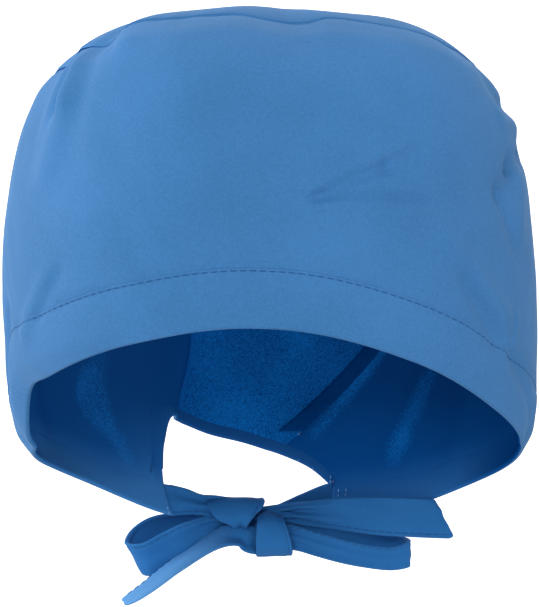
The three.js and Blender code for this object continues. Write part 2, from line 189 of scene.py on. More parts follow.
# How the upright lines of the panels lean as they rise.
FAN = (
    FanRow(-158, -161.5, -124), FanRow(-150, -149.9, -119.8), FanRow(-90, -90, -90),
    FanRow(90, 90, 90), FanRow(178.3, 161, 124), FanRow(202, 198.5, 236),
)
PLEAT = (
    PleatRow(-60, 208.4, 14), PleatRow(-35, 205.2, 14), PleatRow(-20, 202.7, 12.5),
    PleatRow(-5, 200.3, 10.5), PleatRow(20, 198, 6), PleatRow(60, 200, 0),
)
FOLDS = (
    Crease(-55, 0.95, -52.5, 0.8, 3.5, 2.6),  # tucks left of the front
    Crease(-49.5, 0.94, -48, 0.82, 5.5, -2.2),
    Crease(-48, 0.82, -51.5, 0.6, 7.5, -2.2),
    Crease(-40, 1.0, -38, 0.94, 2.5, 1.2),
    Crease(-34, 1.0, -33, 0.92, 5, -0.8),
    Crease(-61, 0.15, -51, 0.26, 4.5, -1.4),
    Crease(-55, 0.17, -46, 0.28, 3.5, 0.9),
    Crease(-76, 0.24, -92, 0.03, 5, 2.2),
    Crease(92, 0.95, 66, 0.865, 3, 2.2),  # tucks on the right
    Crease(92, 0.9, 62, 0.83, 4, -1.6),
    Crease(82, 0.81, 62, 0.68, 3.5, 2.4),
    Crease(62, 0.68, 54.5, 0.58, 3.5, 1.8),
    Crease(54.5, 0.58, 60, 0.47, 3.5, 1.3),
    Crease(68, 0.7, 63, 0.55, 6, -1.6),
    Crease(60, 0.97, 63, 0.86, 5, 1),
    Crease(6.5, 0.442, 20.5, 0.567, 1.7, -0.7),  # creases of the front
    Crease(20.5, 0.567, 27, 0.627, 1.8, -0.5),
    Crease(7.5, 0.428, 22, 0.543, 2.4, 1.5),
    Crease(22, 0.543, 28.5, 0.603, 2.6, 0.9),
    Crease(8, 0.426, 29.5, 0.468, 1.6, 1.3),
    Crease(9, 0.4, 29.5, 0.442, 2.2, -0.6),
    Crease(37, 0.36, 54.5, 0.245, 5, -2),
    Crease(41, 0.28, 52, 0.175, 3.5, 1.8),
    Crease(60.5, 0.265, 59.5, 0.19, 2.2, -1.2),  # right temple
    Crease(59.5, 0.15, 82, 0.035, 3, 1.5),
    Crease(4, 0.99, 5.5, 0.91, 4, 1.6),  # dent at the crown
    Crease(132, 0.1, 118, 0.5, 10, 2.5),
    Crease(-112, 0.1, -102, 0.5, 10, 2.5),
    Crease(152, 0.2, 138, 0.55, 8, -2),
    Crease(184, 0.3, 184, 0.6, 6, 2),  # over the opening
    Crease(172, 0.3, 164, 0.7, 7, -2),
    Crease(213.5, 0.18, 211.5, 0.095, 1.6, 0.8),  # beside the opening
)
# Where the nap of the inner face is raised.
NAP_BANDS = (
    Crease(138, 0.38, 152, 0.14, 8, 0.9), Crease(150, 0.46, 171, 0.2, 4.5, 1),
    Crease(-138, 0.42, -132, 0.24, 9, 0.9), Crease(-132, 0.24, -141, 0.12, 7, 0.8),
)


def column(rows: Sequence[NamedTuple], name: str) -> Array:
    """One column of a table as an array.

    Args:
        rows: The table.
        name: The column's name.

    Returns:
        The column's values in row order.
    """
    return np.array([getattr(row, name) for row in rows], dtype=float)


def along(rows: Sequence[NamedTuple], key: str, name: str, at: Array) -> Array:
    """Values of a column on a smooth curve through a table's rows.

    Args:
        rows: The table, in order of its key column.
        key: The column that is the curve's parameter.
        name: The column that is read.
        at: Where it is read.

    Returns:
        The values, shaped as at.
    """
    return curve(column(rows, key), column(rows, name), at)


def curve(keys: Array, values: Array, at: Array) -> Array:
    """Cubic through values at rising keys, whose slopes come from the neighbouring values.

    Args:
        keys: Rising parameters.
        values: The value at each.
        at: Where the curve is read; past its ends it keeps its end values.

    Returns:
        The values, shaped as at.
    """
    at = np.asarray(at, dtype=float)
    i = np.clip(np.searchsorted(keys, at, side="right") - 1, 0, len(keys) - 2)
    before = np.maximum(np.arange(len(keys)) - 1, 0)
    after = np.minimum(np.arange(len(keys)) + 1, len(keys) - 1)
    slope = (values[after] - values[before]) / (keys[after] - keys[before])
    span = keys[i + 1] - keys[i]
    s = np.clip((at - keys[i]) / span, 0, 1)
    ends = (2 * s**3 - 3 * s**2 + 1) * values[i] + (3 * s**2 - 2 * s**3) * values[i + 1]
    slopes = (s**3 - 2 * s**2 + s) * slope[i] + (s**3 - s**2) * slope[i + 1]
    return ends + slopes * span


def smoothstep(x: Array) -> Array:
    """Smooth rise from 0 to 1 as x goes from 0 to 1."""
    x = np.clip(x, 0, 1)
    return x * x * (3 - 2 * x)


def bell(off: Array, width: float) -> Array:
    """Bell curve: 1 where off is 0, and about a third where it is the width."""
    return np.exp(-((off / width) ** 2))


def signed(angle: Array) -> Array:
    """The same angle between -180 and 180 degrees."""
    return np.mod(angle + 180, 360) - 180


def stacked(*parts: Array) -> Array:
    """Arrays or numbers side by side, as the last axis of one array."""
    return np.stack(np.broadcast_arrays(*parts), axis=-1)


def run_along(line: Array) -> Array:
    """Distance of each point of a line from its first one, along the line."""
    steps = np.linalg.norm(np.diff(line, axis=0), axis=-1)
    return np.concatenate([[0], np.cumsum(steps)])


def ramp(x: Array, start: float, full: float) -> Array:
    """Smooth rise from 0 at start to 1 at full, whichever of them is larger."""
    return smoothstep((x - start) / (full - start))


def normals_of(points: Array) -> Array:
    """Unit normals of a grid of points, rows by columns, as columns cross rows.

    Args:
        points: Positions, shaped rows by columns by 3.

    Returns:
        Normals of the same shape.
    """
    across = np.gradient(points, axis=1)
    up = np.gradient(points, axis=0)
    normal = np.cross(across, up)
    length = np.linalg.norm(normal, axis=-1, keepdims=True)
    return normal / np.maximum(length, 1e-9)


class Ripple:
    """Soft uneven waves of cloth: a few seeded sines that cross in space."""

    def __init__(self, seed: int, shortest: float, longest: float, waves: int = 9) -> None:
        """Draws the waves.

        Args:
            seed: Fixes the draw.
            shortest: Shortest wavelength in mm.
            longest: Longest wavelength in mm.
            waves: How many sines are added.
        """
        draw = np.random.default_rng(seed)
        length = shortest * (longest / shortest) ** draw.random(waves)
        way = draw.normal(size=(3, waves))
        self.rate = math.tau / length * way / np.linalg.norm(way, axis=0)
        self.phase = draw.random(waves) * math.tau

    def __call__(self, places: Array) -> Array:
        """Height of the waves at places in mm, mostly between -1 and 1."""
        waves = np.sin(places @ self.rate + self.phase)
        return waves.sum(axis=-1) / math.sqrt(len(self.phase))


# ---- shape of the cap


@dataclass
class CapShape:
    """The surface that all panels and hems lie on, in mm."""

    oval_power: float = 2.2
    widest: float = SECTIONS[3].left
    crown_height: float = field(
        default_factory=lambda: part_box("crown_panel")[1][2] / MM - CROWN_ROOM
    )
    crown_bulge: float = 4.0
    crown_swell: float = 1.3
    swell_x: float = -14.0
    swell_reach: float = 22.0
    swell_edge: int = 8
    crown_centre_y: float = 8.0
    hem_height: float = 20.0
    slope_span: float = 0.4
    arch_samples: int = 201
    fan_middle: float = 0.22
    pleat_slow_side: float = 42.0
    pleat_steep_side: float = 5.0
    wrinkle: float = 0.35
    rim_wrinkle: float = 0.2
    loose_from: float = 0.25
    fine_wrinkle: float = 0.3
    pucker: float = 0.16
    pucker_reach: float = 7.0
    pucker_run: float = 0.15
    broad: Ripple = field(default_factory=lambda: Ripple(3, 38, 95))
    fine: Ripple = field(default_factory=lambda: Ripple(11, 12, 30))
    gathers: Ripple = field(default_factory=lambda: Ripple(7, 7, 22))

    @property
    def mm_per_degree(self) -> float:
        """Length round the wall for a degree, at its widest section."""
        return math.radians(self.widest)

    @staticmethod
    def edge_height(angle: Array, edge: Sequence[Edge]) -> Array:
        """Height of an edge that runs round the wall.

        Args:
            angle: Angles in degrees.
            edge: RIM or SEAM.

        Returns:
            Heights in mm.
        """
        keys, values = column(edge, "angle"), column(edge, "height")
        keys = np.concatenate([keys[-3:] - 360, keys, keys[:3] + 360])
        values = np.concatenate([values[-3:], values, values[:3]])
        return curve(keys, values, signed(angle))

    def wall_height(self, angle: Array) -> Array:
        """Height from the rim to the crown seam."""
        return self.edge_height(angle, SEAM) - self.edge_height(angle, RIM)

    def rise_of(self, angle: Array, height: Array) -> Array:
        """Rise of a height at an angle."""
        return (height - self.edge_height(angle, RIM)) / self.wall_height(angle)

    def pleat_depth(self, angle: Array, height: Array) -> Array:
        """How far the pleat beside the back opening stands in.

        Args:
            angle: Angles in degrees.
            height: Heights in mm.

        Returns:
            Depths in mm.
        """
        off = np.mod(angle, 360) - along(PLEAT, "height", "angle", height)
        steep = 1 + off / self.pleat_steep_side
        slow = 1 - off / self.pleat_slow_side
        return along(PLEAT, "height", "depth", height) * smoothstep(np.where(off < 0, steep, slow))

    def crease_depth(self, creases: Sequence[Crease], angle: Array, rise: Array) -> Array:
        """How far creases press the wall in.

        Args:
            creases: The creases.
            angle: Angles in degrees.
            rise: Rises.

        Returns:
            Depths in mm.
        """
        total = np.zeros(np.broadcast(angle, rise).shape)
        for crease in creases:
            run_x = (crease.to_angle - crease.angle) * self.mm_per_degree
            run_y = (crease.to_rise - crease.rise) * self.crown_height
            x = signed(angle - crease.angle) * self.mm_per_degree
            y = (rise - crease.rise) * self.crown_height
            share = np.clip((x * run_x + y * run_y) / (run_x**2 + run_y**2), 0, 1)
            off = np.hypot(x - share * run_x, y - share * run_y)
            total += crease.depth * bell(off, crease.width)
        return total

    def point(self, angle: Array, rise: Array) -> Array:
        """Points of the outer surface.

        Args:
            angle: Angles in degrees.
            rise: Rises.

        Returns:
            Positions in mm, with a last axis of 3.
        """
        angle, rise = np.broadcast_arrays(np.asarray(angle, float), np.asarray(rise, float))
        height = self.height(angle, rise)
        sine, cosine = np.sin(np.radians(angle)), np.cos(np.radians(angle))
        sides = ("left", "right", "front", "back")
        left, right, front, back = (along(SECTIONS, "rise", side, rise) for side in sides)
        inwards = self.pleat_depth(angle, height) + self.crease_depth(FOLDS, angle, rise)
        power = 2 / self.oval_power
        x = np.where(sine < 0, left, right) * np.sign(sine) * np.abs(sine) ** power
        y = -np.where(cosine > 0, front, back) * np.sign(cosine) * np.abs(cosine) ** power
        return stacked(x - inwards * sine, y + inwards * cosine, height)

    def crown_point(self, angle: Array, ring: Array) -> Array:
        """Points of the crown, which has a low swell left of its middle.

        Args:
            angle: Angles in degrees.
            ring: 0 at the crown's middle and 1 at its seam.

        Returns:
            Positions in mm, with a last axis of 3.
        """
        seam = self.point(angle, np.ones_like(angle))
        x = seam[..., 0] * ring
        y = self.crown_centre_y + (seam[..., 1] - self.crown_centre_y) * ring
        z = self.crown_height + (seam[..., 2] - self.crown_height) * ring**self.crown_bulge
        swell = self.crown_swell * bell(x - self.swell_x, self.swell_reach)
        return stacked(x, y, z + swell * (1 - ring**self.swell_edge))

    def arch_line(self, name: str, across: Array) -> Array:
        """A column of the opening's table, smooth along the opening."""
        return along(ARCH, "share", name, across)

    def height(self, angle: Array, rise: Array) -> Array:
        """Height in mm of a rise at an angle."""
        return self.edge_height(angle, RIM) + self.wall_height(angle) * rise

    def panel_floor(self, angle: Array) -> Array:
        """Height where the panels begin: the top line of the brow hem or of the arch's hem.

        Args:
            angle: Angles in degrees.

        Returns:
            Heights in mm.
        """
        around = np.mod(angle, 360)
        across = np.linspace(0, 1, self.arch_samples)
        keys = self.arch_line("top_angle", across)
        arch = np.interp(around, keys, self.arch_line("top", across))
        hem = self.edge_height(angle, RIM) + self.hem_height
        return np.where((around > keys[0]) & (around < keys[-1]), arch, hem)

    def above_floor(self, angle: Array, rise: Array) -> Array:
        """Distance from the line where the panels begin, square to that line.

        Args:
            angle: Angles in degrees.
            rise: Rises.

        Returns:
            Distances in mm, below zero under the line.
        """
        span = self.slope_span
        floor, ahead, behind = (self.panel_floor(angle + off) for off in (0, span, -span))
        slope = (ahead - behind) / (2 * span * self.mm_per_degree)
        return (self.height(angle, rise) - floor) / np.hypot(1, slope)

    def fan_angle(self, low: Array, share: Array) -> Array:
        """Angle of an upright panel line part of the way up.

        Args:
            low: Angle of the line's foot.
            share: Share of the way from the foot to the crown seam.

        Returns:
            Angles in degrees.
        """
        keys = column(FAN, "low")
        middle = np.interp(low, keys, column(FAN, "middle")) - low
        top = np.interp(low, keys, column(FAN, "top")) - low
        bend = (middle - self.fan_middle * top) / (self.fan_middle**2 - self.fan_middle)
        return low + bend * share**2 + (top - bend) * share

    @staticmethod
    def rim_painted_light(angle: Array, up: Array) -> Array:
        """How much painted light the inner face gets where light falls on it near the rim.

        Args:
            angle: Angles in degrees.
            up: Heights above the rim in mm.

        Returns:
            Shares, 1 where the painted light is palest.
        """
        around = signed(angle)
        # Painted light inside both sides of the rim, on the left leg of the opening, and on the
        # left flank.
        left = ramp(around, -42, -70) * ramp(around, -190, -170)
        right = 0.75 * ramp(around, 100, 150)
        leg = 0.4 * bell(np.mod(angle, 360) - 210, 9) * ramp(up, 50, 0)
        flank = 0.1 * ramp(around, -80, -110) * ramp(around, -165, -145)
        return np.clip((left + right) * ramp(up, 23, 0) ** 1.3 + leg + flank, 0, 1)

    def cloth_waves(self, angle: Array, rise: Array) -> Array:
        """Soft waves of the loose cloth, with puckers under the crown seam.

        Args:
            angle: Angles in degrees.
            rise: Rises.

        Returns:
            How far the cloth stands out, in mm.
        """
        places = self.point(angle, rise)
        loose = self.rim_wrinkle + (1 - self.rim_wrinkle) * smoothstep(rise / self.loose_from)
        waves = self.wrinkle * loose * (self.broad(places) + self.fine_wrinkle * self.fine(places))
        return waves + self.seam_puckers(angle, (1 - rise) * self.wall_height(angle))

    def seam_puckers(self, angle: Array, distance: Array) -> Array:
        """Short puckers beside the crown seam.

        Args:
            angle: Angles in degrees.
            distance: Distances from the seam in mm.

        Returns:
            How far the cloth stands out, in mm.
        """
        turn = np.radians(angle)
        places = self.widest * np.sin(turn), self.widest * np.cos(turn), distance * self.pucker_run
        along_seam = self.gathers(stacked(*places))
        return self.pucker * along_seam * np.exp(-distance / self.pucker_reach)


# ---- cloth as meshes


def select_only(piece: Piece | None = None) -> None:
    """Deselects everything, then selects one piece and makes it active.

    Args:
        piece: The piece, or None to leave nothing selected.
    """
    bpy.ops.object.select_all(action="DESELECT")
    if piece is not None:
        piece.select_set(True)
        bpy.context.view_layer.objects.active = piece


def rolled_shares(length: float, step: float, roll: float) -> Array:
    """Shares from 0 to 1 in even steps, with closer ones where the edges roll over.

    Args:
        length: Length in mm that the shares run along.
        step: Distance between the even ones, in mm.
        roll: Radius of the rolled edges, in mm.

    Returns:
        Rising shares that include 0 and 1.
    """
    turn = np.array(ROLL_SHARES) * roll / length
    inner = np.linspace(turn[-1], 1 - turn[-1], max(2, round((length - 2 * roll) / step)) + 1)
    return np.concatenate([turn[:-1], inner, 1 - turn[-2::-1]])


def distance_from_ends(points: Array, axis: int) -> Array:
    """Distance of each grid point from the nearer end of its row or column, in mm.

    Args:
        points: Grid of positions.
        axis: 0 for the ends of the columns, 1 for the ends of the rows.

    Returns:
        Distances, rows by columns.
    """
    steps = np.linalg.norm(np.diff(points, axis=axis), axis=-1)
    start = np.zeros_like(np.take(steps, [0], axis=axis))
    run = np.concatenate([start, np.cumsum(steps, axis=axis)], axis=axis)
    return np.minimum(run, np.take(run, [-1], axis=axis) - run)


@dataclass
class Cloth:
    """A layer of cloth: a grid of places on its outer face, its thickness and its weave's run.

    Lift moves both of its faces outwards, and press moves the outer face alone.
    """

    name: str
    face: Array
    thickness: float | Array
    weave: Array
    lift: Array | float = 0.0
    press: Array | float = 0.0
    ring: bool = False
    nap: Array | None = None
    # Share of painted light at each place, paler where light falls on the inner face.
    painted_light: Array | None = None

    def normals(self) -> Array:
        """Outward normals of the face; on a ring they meet at its ends and at its pole.

        Returns:
            Unit vectors, rows by columns by 3.
        """
        if not self.ring:
            return normals_of(self.face)
        wrapped = np.concatenate([self.face[:, -3:-1], self.face, self.face[:, 1:3]], axis=1)
        normal = normals_of(wrapped)[:, 2:-2]
        normal[:, -1] = normal[:, 0]
        normal[0] = normal[1].mean(axis=0) / np.linalg.norm(normal[1].mean(axis=0))
        return normal

    def rolled(self) -> Array:
        """Share of the full thickness at each place: it closes in a half round at open edges.

        Returns:
            Shares, rows by columns.
        """
        off = distance_from_ends(self.face, 0)
        if self.ring:
            off = np.repeat(off[:, :1], off.shape[1], axis=1)
            off[: len(off) // 2] = self.thickness
        else:
            off = np.minimum(off, distance_from_ends(self.face, 1))
        short = 1 - np.clip(off / (self.thickness / 2), 0, 1)
        return np.sqrt(1 - short**2)

    def layers(self) -> tuple[Array, Array]:
        """Both faces of the cloth, which meet along its open edges.

        Returns:
            Places of the outer and of the inner face, in mm.
        """
        normal = self.normals()
        half = self.thickness / 2 + np.zeros(self.face.shape[:2])
        middle = self.face + normal * (self.lift - half)[..., None]
        rolled = self.rolled()
        press = normal * (self.press * rolled)[..., None]
        half = normal * (rolled * half)[..., None]
        return middle + half + press, middle - half

    def build(self) -> Piece:
        """Makes the closed mesh; faces of the inner side take the second material.

        Returns:
            The new piece, with its place in its mesh.
        """
        outer, inner = self.layers()
        axis = 0 if self.ring else 1
        points = np.concatenate([outer, np.flip(inner, axis)], axis=axis)
        weave = np.concatenate([self.weave, np.flip(self.weave, axis)], axis=axis)
        rows, columns = points.shape[:2]
        select_only()
        bpy.ops.mesh.primitive_grid_add(x_subdivisions=columns - 1, y_subdivisions=rows - 1)
        piece = bpy.context.object
        piece.name = piece.data.name = self.name
        mesh = piece.data
        mesh.vertices.foreach_set("co", (points * MM).astype(np.float32).ravel())
        corners = np.zeros(len(mesh.loops), dtype=np.int32)
        mesh.loops.foreach_get("vertex_index", corners)
        mesh.uv_layers[0].name = UV_LAYER
        uv = (weave.reshape(-1, 2) * MM)[corners]
        mesh.uv_layers[0].data.foreach_set("uv", uv.astype(np.float32).ravel())
        first = corners.reshape(-1, 4).min(axis=1)
        line = first // columns if self.ring else first % columns
        inside = line >= (rows if self.ring else columns) // 2
        mesh.polygons.foreach_set("material_index", inside.astype(np.int32))
        for layer, values in ((NAP_LAYER, self.nap), (PAINTED_LIGHT_LAYER, self.painted_light)):
            if values is not None:
                both = np.concatenate([values, np.flip(values, axis)], axis=axis)
                attribute = mesh.attributes.new(layer, "FLOAT", "POINT")
                attribute.data.foreach_set("value", both.astype(np.float32).ravel())
        mesh.update()
        merge_doubles(piece)
        return piece


def merge_doubles(piece: Piece) -> None:
    """Welds places that coincide, then shades the piece smooth.

    Args:
        piece: The piece.
    """
    select_only(piece)
    bpy.ops.object.mode_set(mode="EDIT")
    bpy.ops.mesh.select_all(action="SELECT")
    bpy.ops.mesh.remove_doubles(threshold=1e-6)
    bpy.ops.object.mode_set(mode="OBJECT")
    bpy.ops.object.shade_smooth()


def joined(pieces: Sequence[Piece], name: str) -> Piece:
    """Joins pieces into the first of them.

    Args:
        pieces: What is joined; all have the same material slots.
        name: Name of the result.

    Returns:
        The joined piece.
    """
    select_only(pieces[0])
    for piece in pieces:
        piece.select_set(True)
    bpy.ops.object.join()
    pieces[0].name = pieces[0].data.name = name
    return pieces[0]


@dataclass
class Thread:
    """Sewing thread as it shows on a face: one short stitch after another."""

    pitch: float = 3.2
    length: float = 2.5
    radius: float = 0.2
    proud: float = 0.02
    bluntness: float = 0.6
    sides: int = 8
    rings: int = 6

    def places(self, path: Array, normal: Array) -> list[Array]:
        """Frames of the stitches along a line on a face.

        Args:
            path: Points of the line, in mm.
            normal: The face's normal at each.

        Returns:
            For each stitch a 4 by 3 array: its middle, and its length, side and height axes.
        """
        run = run_along(path)
        frames = []
        for at in np.arange(self.pitch / 2, run[-1] - self.length / 2, self.pitch):
            ends = [self.read(run, path, at + half * self.length / 2) for half in (-1, 1)]
            up = self.read(run, normal, at)
            ahead = (ends[1] - ends[0]) / np.linalg.norm(ends[1] - ends[0])
            side = np.cross(up, ahead)
            side /= np.linalg.norm(side)
            up = np.cross(ahead, side)
            middle = (ends[0] + ends[1]) / 2 + up * self.proud
            frames.append(np.stack([middle, ahead, side, up]))
        return frames

    @staticmethod
    def read(run: Array, values: Array, at: float) -> Array:
        """Value of a line's property at a distance along it."""
        return np.array([np.interp(at, run, values[:, k]) for k in range(3)])

    def build(self, name: str, frames: Sequence[Array]) -> Piece:
        """Makes one piece of all stitches, each a copy of one rounded stitch.

        Args:
            name: Name of the piece.
            frames: Frames of the stitches.

        Returns:
            The new piece.
        """
        select_only()
        bpy.ops.mesh.primitive_uv_sphere_add(segments=self.sides, ring_count=self.rings, radius=1)
        piece = bpy.context.object
        piece.name = piece.data.name = name
        model = np.array([vertex.co for vertex in piece.data.vertices])
        faces = [tuple(polygon.vertices) for polygon in piece.data.polygons]
        blunt = np.sign(model[:, 2]) * np.abs(model[:, 2]) ** self.bluntness
        round_off = model[:, :2] * self.radius
        shaped = np.column_stack([blunt * self.length / 2, round_off])
        points = [frame[0] + shaped @ frame[1:] for frame in frames]
        count = len(shaped)
        starts = range(0, count * len(frames), count)
        repeated = [tuple(i + start for i in face) for start in starts for face in faces]
        piece.data.clear_geometry()
        piece.data.from_pydata((np.concatenate(points) * MM).tolist(), [], repeated)
        piece.data.update()
        select_only(piece)
        bpy.ops.object.shade_smooth()
        return piece


# ---- finishes


def linear(colour: str) -> tuple[float, float, float, float]:
    """Linear colour of an sRGB hex value.

    Args:
        colour: "#rrggbb".

    Returns:
        Red, green, blue and a full alpha.
    """
    parts = [int(colour[i : i + 2], 16) / 255 for i in (1, 3, 5)]
    red, green, blue = (c / 12.92 if c <= 0.04045 else ((c + 0.055) / 1.055) ** 2.4 for c in parts)
    return red, green, blue, 1.0


def add_node(
    tree: bpy.types.NodeTree,
    kind: str,
    settings: dict[str, object],
    inputs: dict[str | int, object],
    output: str | int = 0,
) -> bpy.types.NodeSocket | None:
    """Adds a node to a material.

    Args:
        tree: The material's nodes.
        kind: The node's type.
        settings: Its properties by name.
        inputs: For an input's name or number, the output that feeds it or its fixed value.
        output: Name or number of the output that is wanted.

    Returns:
        That output, or None where the node has none.
    """
    node = tree.nodes.new(kind)
    for name, value in settings.items():
        setattr(node, name, value)
    for socket, value in inputs.items():
        if isinstance(value, bpy.types.NodeSocket):
            tree.links.new(value, node.inputs[socket])
        else:
            node.inputs[socket].default_value = value
    return node.outputs[output] if node.outputs else None


@dataclass(frozen=True)
class WovenFinish:
    """Woven cloth: twill ribs, uneven yarn, and a nap of loose fibres.

    Sizes are in mm. A relief is a share of the bump's height, and a tone a share of the change
    from the shade to the colour.
    """

    name: str
    colour: str
    shade: str
    rib: float = 0.8
    rib_relief: float = 0.25
    rib_tone: float = 0.3
    slub_width: float = 0.9
    slub_length: float = 12.0
    slub_relief: float = 0.5
    nap_size: float = 1.4
    nap_relief: float = 0.3
    mottle: float = 0.5
    grain: float = 0.8
    grain_tone: float = 1.0
    fading: float = 35.0
    spread: float = 0.36
    roughness: float = 0.82
    ior: float = 1.5
    specular: float = 0.3
    sheen: float = 0.14
    sheen_roughness: float = 0.45
    sheen_colour: str = "#9cc4ee"
    bump_height: float = 0.12
    bump_strength: float = 0.6
    patchy: bool = False
    # Paler colour of painted light, mixed in by the painted light layer.
    painted_light_colour: str | None = None

    def material(self) -> bpy.types.Material:
        """Makes the material.

        Returns:
            The material, whose pattern follows the cloth's own map in metres.
        """
        material = bpy.data.materials.new(self.name)
        material.use_nodes = True
        tree = material.node_tree
        tree.nodes.clear()
        weave = add_node(tree, "ShaderNodeUVMap", {"uv_map": UV_LAYER}, {}, "UV")
        place = add_node(tree, "ShaderNodeTexCoord", {}, {}, "Object")
        # The wave turns ten radians where x + y grows by one.
        rib_scale = math.tau / 10 / (self.rib * MM * math.sqrt(2))
        ribs = add_node(
            tree,
            "ShaderNodeTexWave",
            {"wave_type": "BANDS", "bands_direction": "DIAGONAL"},
            {"Vector": weave, "Scale": rib_scale, "Distortion": 0.6, "Detail": 1.0},
            "Fac",
        )
        yarn_scale = (1 / self.slub_width, 1 / self.slub_length, 1)
        yarn_run = add_node(tree, "ShaderNodeMapping", {}, {"Vector": weave, "Scale": yarn_scale})
        noises = (
            (yarn_run, 1.0, 2.0, 0.5),
            (place, self.nap_size, 4.0, 0.65),
            (place, self.fading, 2.0, 0.5),
            (place, self.grain, 1.0, 0.5),
        )
        slubs, nap, fading, grain = (
            add_node(
                tree,
                "ShaderNodeTexNoise",
                {},
                {"Vector": source, "Scale": 1 / (size * MM), "Detail": detail, "Roughness": coarse},
                "Fac",
            )
            for source, size, detail, coarse in noises
        )
        if self.patchy:
            raised = add_node(tree, "ShaderNodeAttribute", {"attribute_name": NAP_LAYER}, {}, "Fac")
            nap = add_node(tree, "ShaderNodeMath", {"operation": "MULTIPLY"}, {0: nap, 1: raised})
        reliefs = ((ribs, self.rib_relief), (slubs, self.slub_relief), (nap, self.nap_relief))
        tones = ((nap, self.mottle), (ribs, self.rib_tone), (grain, self.grain_tone))
        sums = []
        for total, parts in ((0.0, reliefs), (fading, tones)):
            for source, amount in parts:
                inputs = {0: source, 1: amount, 2: total}
                total = add_node(tree, "ShaderNodeMath", {"operation": "MULTIPLY_ADD"}, inputs)
            sums.append(total)
        height, uneven = sums
        middle = 0.5 * (1 + self.mottle + self.rib_tone + self.grain_tone)
        ends = {"From Min": middle - self.spread, "From Max": middle + self.spread}
        blend = add_node(tree, "ShaderNodeMapRange", {}, {"Value": uneven, **ends}, "Result")
        mixes = [(blend, linear(self.shade), linear(self.colour))]
        # Painted light: the paler colour is mixed in where the painted light layer says.
        if self.painted_light_colour:
            painted_light = add_node(tree, "ShaderNodeAttribute", {"attribute_name": PAINTED_LIGHT_LAYER}, {}, "Fac")
            mixes.append((painted_light, None, linear(self.painted_light_colour)))
        colour = None
        for share, under, over in mixes:
            inputs = {0: share, 6: under or colour, 7: over}
            colour = add_node(tree, "ShaderNodeMix", {"data_type": "RGBA"}, inputs, 2)
        bump = {"Strength": self.bump_strength, "Distance": self.bump_height * MM}
        relief = add_node(tree, "ShaderNodeBump", {}, {"Height": height, **bump}, "Normal")
        looks = {
            "Base Color": colour,
            "Roughness": self.roughness,
            "Specular IOR Level": self.specular,
            "IOR": self.ior,
            "Sheen Weight": self.sheen,
            "Sheen Roughness": self.sheen_roughness,
            "Sheen Tint": linear(self.sheen_colour),
            "Normal": relief,
        }
        shader = add_node(tree, "ShaderNodeBsdfPrincipled", {}, looks, "BSDF")
        add_node(tree, "ShaderNodeOutputMaterial", {}, {"Surface": shader})
        return material


class Finish(Enum):
    """The finishes of the cap."""

    # Cotton and polyester twill, piece dyed: matt, with fine ribs drawn at 0.8 mm because the
    # real 0.4 mm ones are too fine to show.
    CLOTH_FACE = WovenFinish("polycotton_twill_face", "#3872ab", "#2d6699")
    # The twill's brushed inside: where the nap is raised it is fuzzy and paler, in tufts of a
    # millimetre or so, and elsewhere it is flat and even. Both its colours are painted shade,
    # deeper than the face's for the shade inside the cap, and its paler mixed-in colour is painted
    # light near the rim.
    CLOTH_REVERSE_PAINTED_SHADE = WovenFinish(
        "polycotton_twill_brushed_reverse_painted_shade", "#137bd4", "#094c92", nap_size=0.6, nap_relief=1.6,
        mottle=2.4, rib_tone=0.1, grain_tone=0.3, spread=0.34, specular=0.0, sheen=0.0, patchy=True,
        painted_light_colour="#3775b4",
    )
    # The same twill, turned and pressed, with less nap left.
    HEM = WovenFinish("polycotton_twill_pressed_hem", "#3872ab", "#2d6699", nap_relief=0.2)
    # Seam allowance pressed flat: its smooth face has little nap, and its darker colour is painted
    # shade for the shade in the seam's fold.
    ALLOWANCE_PAINTED_SHADE = WovenFinish(
        "polycotton_twill_pressed_allowance_painted_shade", "#04458a", "#023b78", nap_relief=0.1, specular=0.0,
        sheen=0.0,
    )
    # The same twill folded in four and topstitched: firmer and smoother. Its deeper colour is
    # painted shade for the shade the bow hangs in behind the cap, and its paler end colour is a
    # painted highlight.
    TIE_PAINTED_SHADE = WovenFinish(
        "polycotton_twill_folded_tie_painted_shade", "#2769a9", "#20609c", nap_relief=0.15, grain_tone=0.5,
        specular=0.12, sheen=0.1, painted_light_colour="#74b2ea",
    )
    # Spun polyester sewing thread: a twisted yarn. Its colour is painted darker than the cloth,
    # painted shade for its needle holes and the groove under it.
    THREAD = WovenFinish(
        "spun_polyester_thread", "#22568f", "#1b4b80", rib=0.5, rib_relief=0.8, roughness=0.6,
        specular=0.15, sheen=0.1,
    )
    # Where thread is backstitched or cut it is fuzzy and catches the light.
    THREAD_LIGHT = WovenFinish(
        "spun_polyester_thread_ends", "#6fa6dc", "#5b92cb", rib=0.5, rib_relief=0.8,
        roughness=0.6, sheen=0.2,
    )

    def dress(self, piece: Piece, inside: Finish | None = None) -> None:
        """Gives a piece this finish, and its inner faces another one if told.

        Args:
            piece: The piece.
            inside: Finish of the faces that took the second material.
        """
        for finish in (self, inside or self):
            material = bpy.data.materials.get(finish.value.name) or finish.value.material()
            piece.data.materials.append(material)


# ---- panels and hems


class Groove(NamedTuple):
    """The hollow that a line of stitching pulls into a face: its depth and half width in mm."""

    depth: float
    width: float

    def press(self, distance: Array) -> Array:
        """Lift of the face, below zero, at distances from the stitching."""
        return -self.depth * bell(distance, self.width)


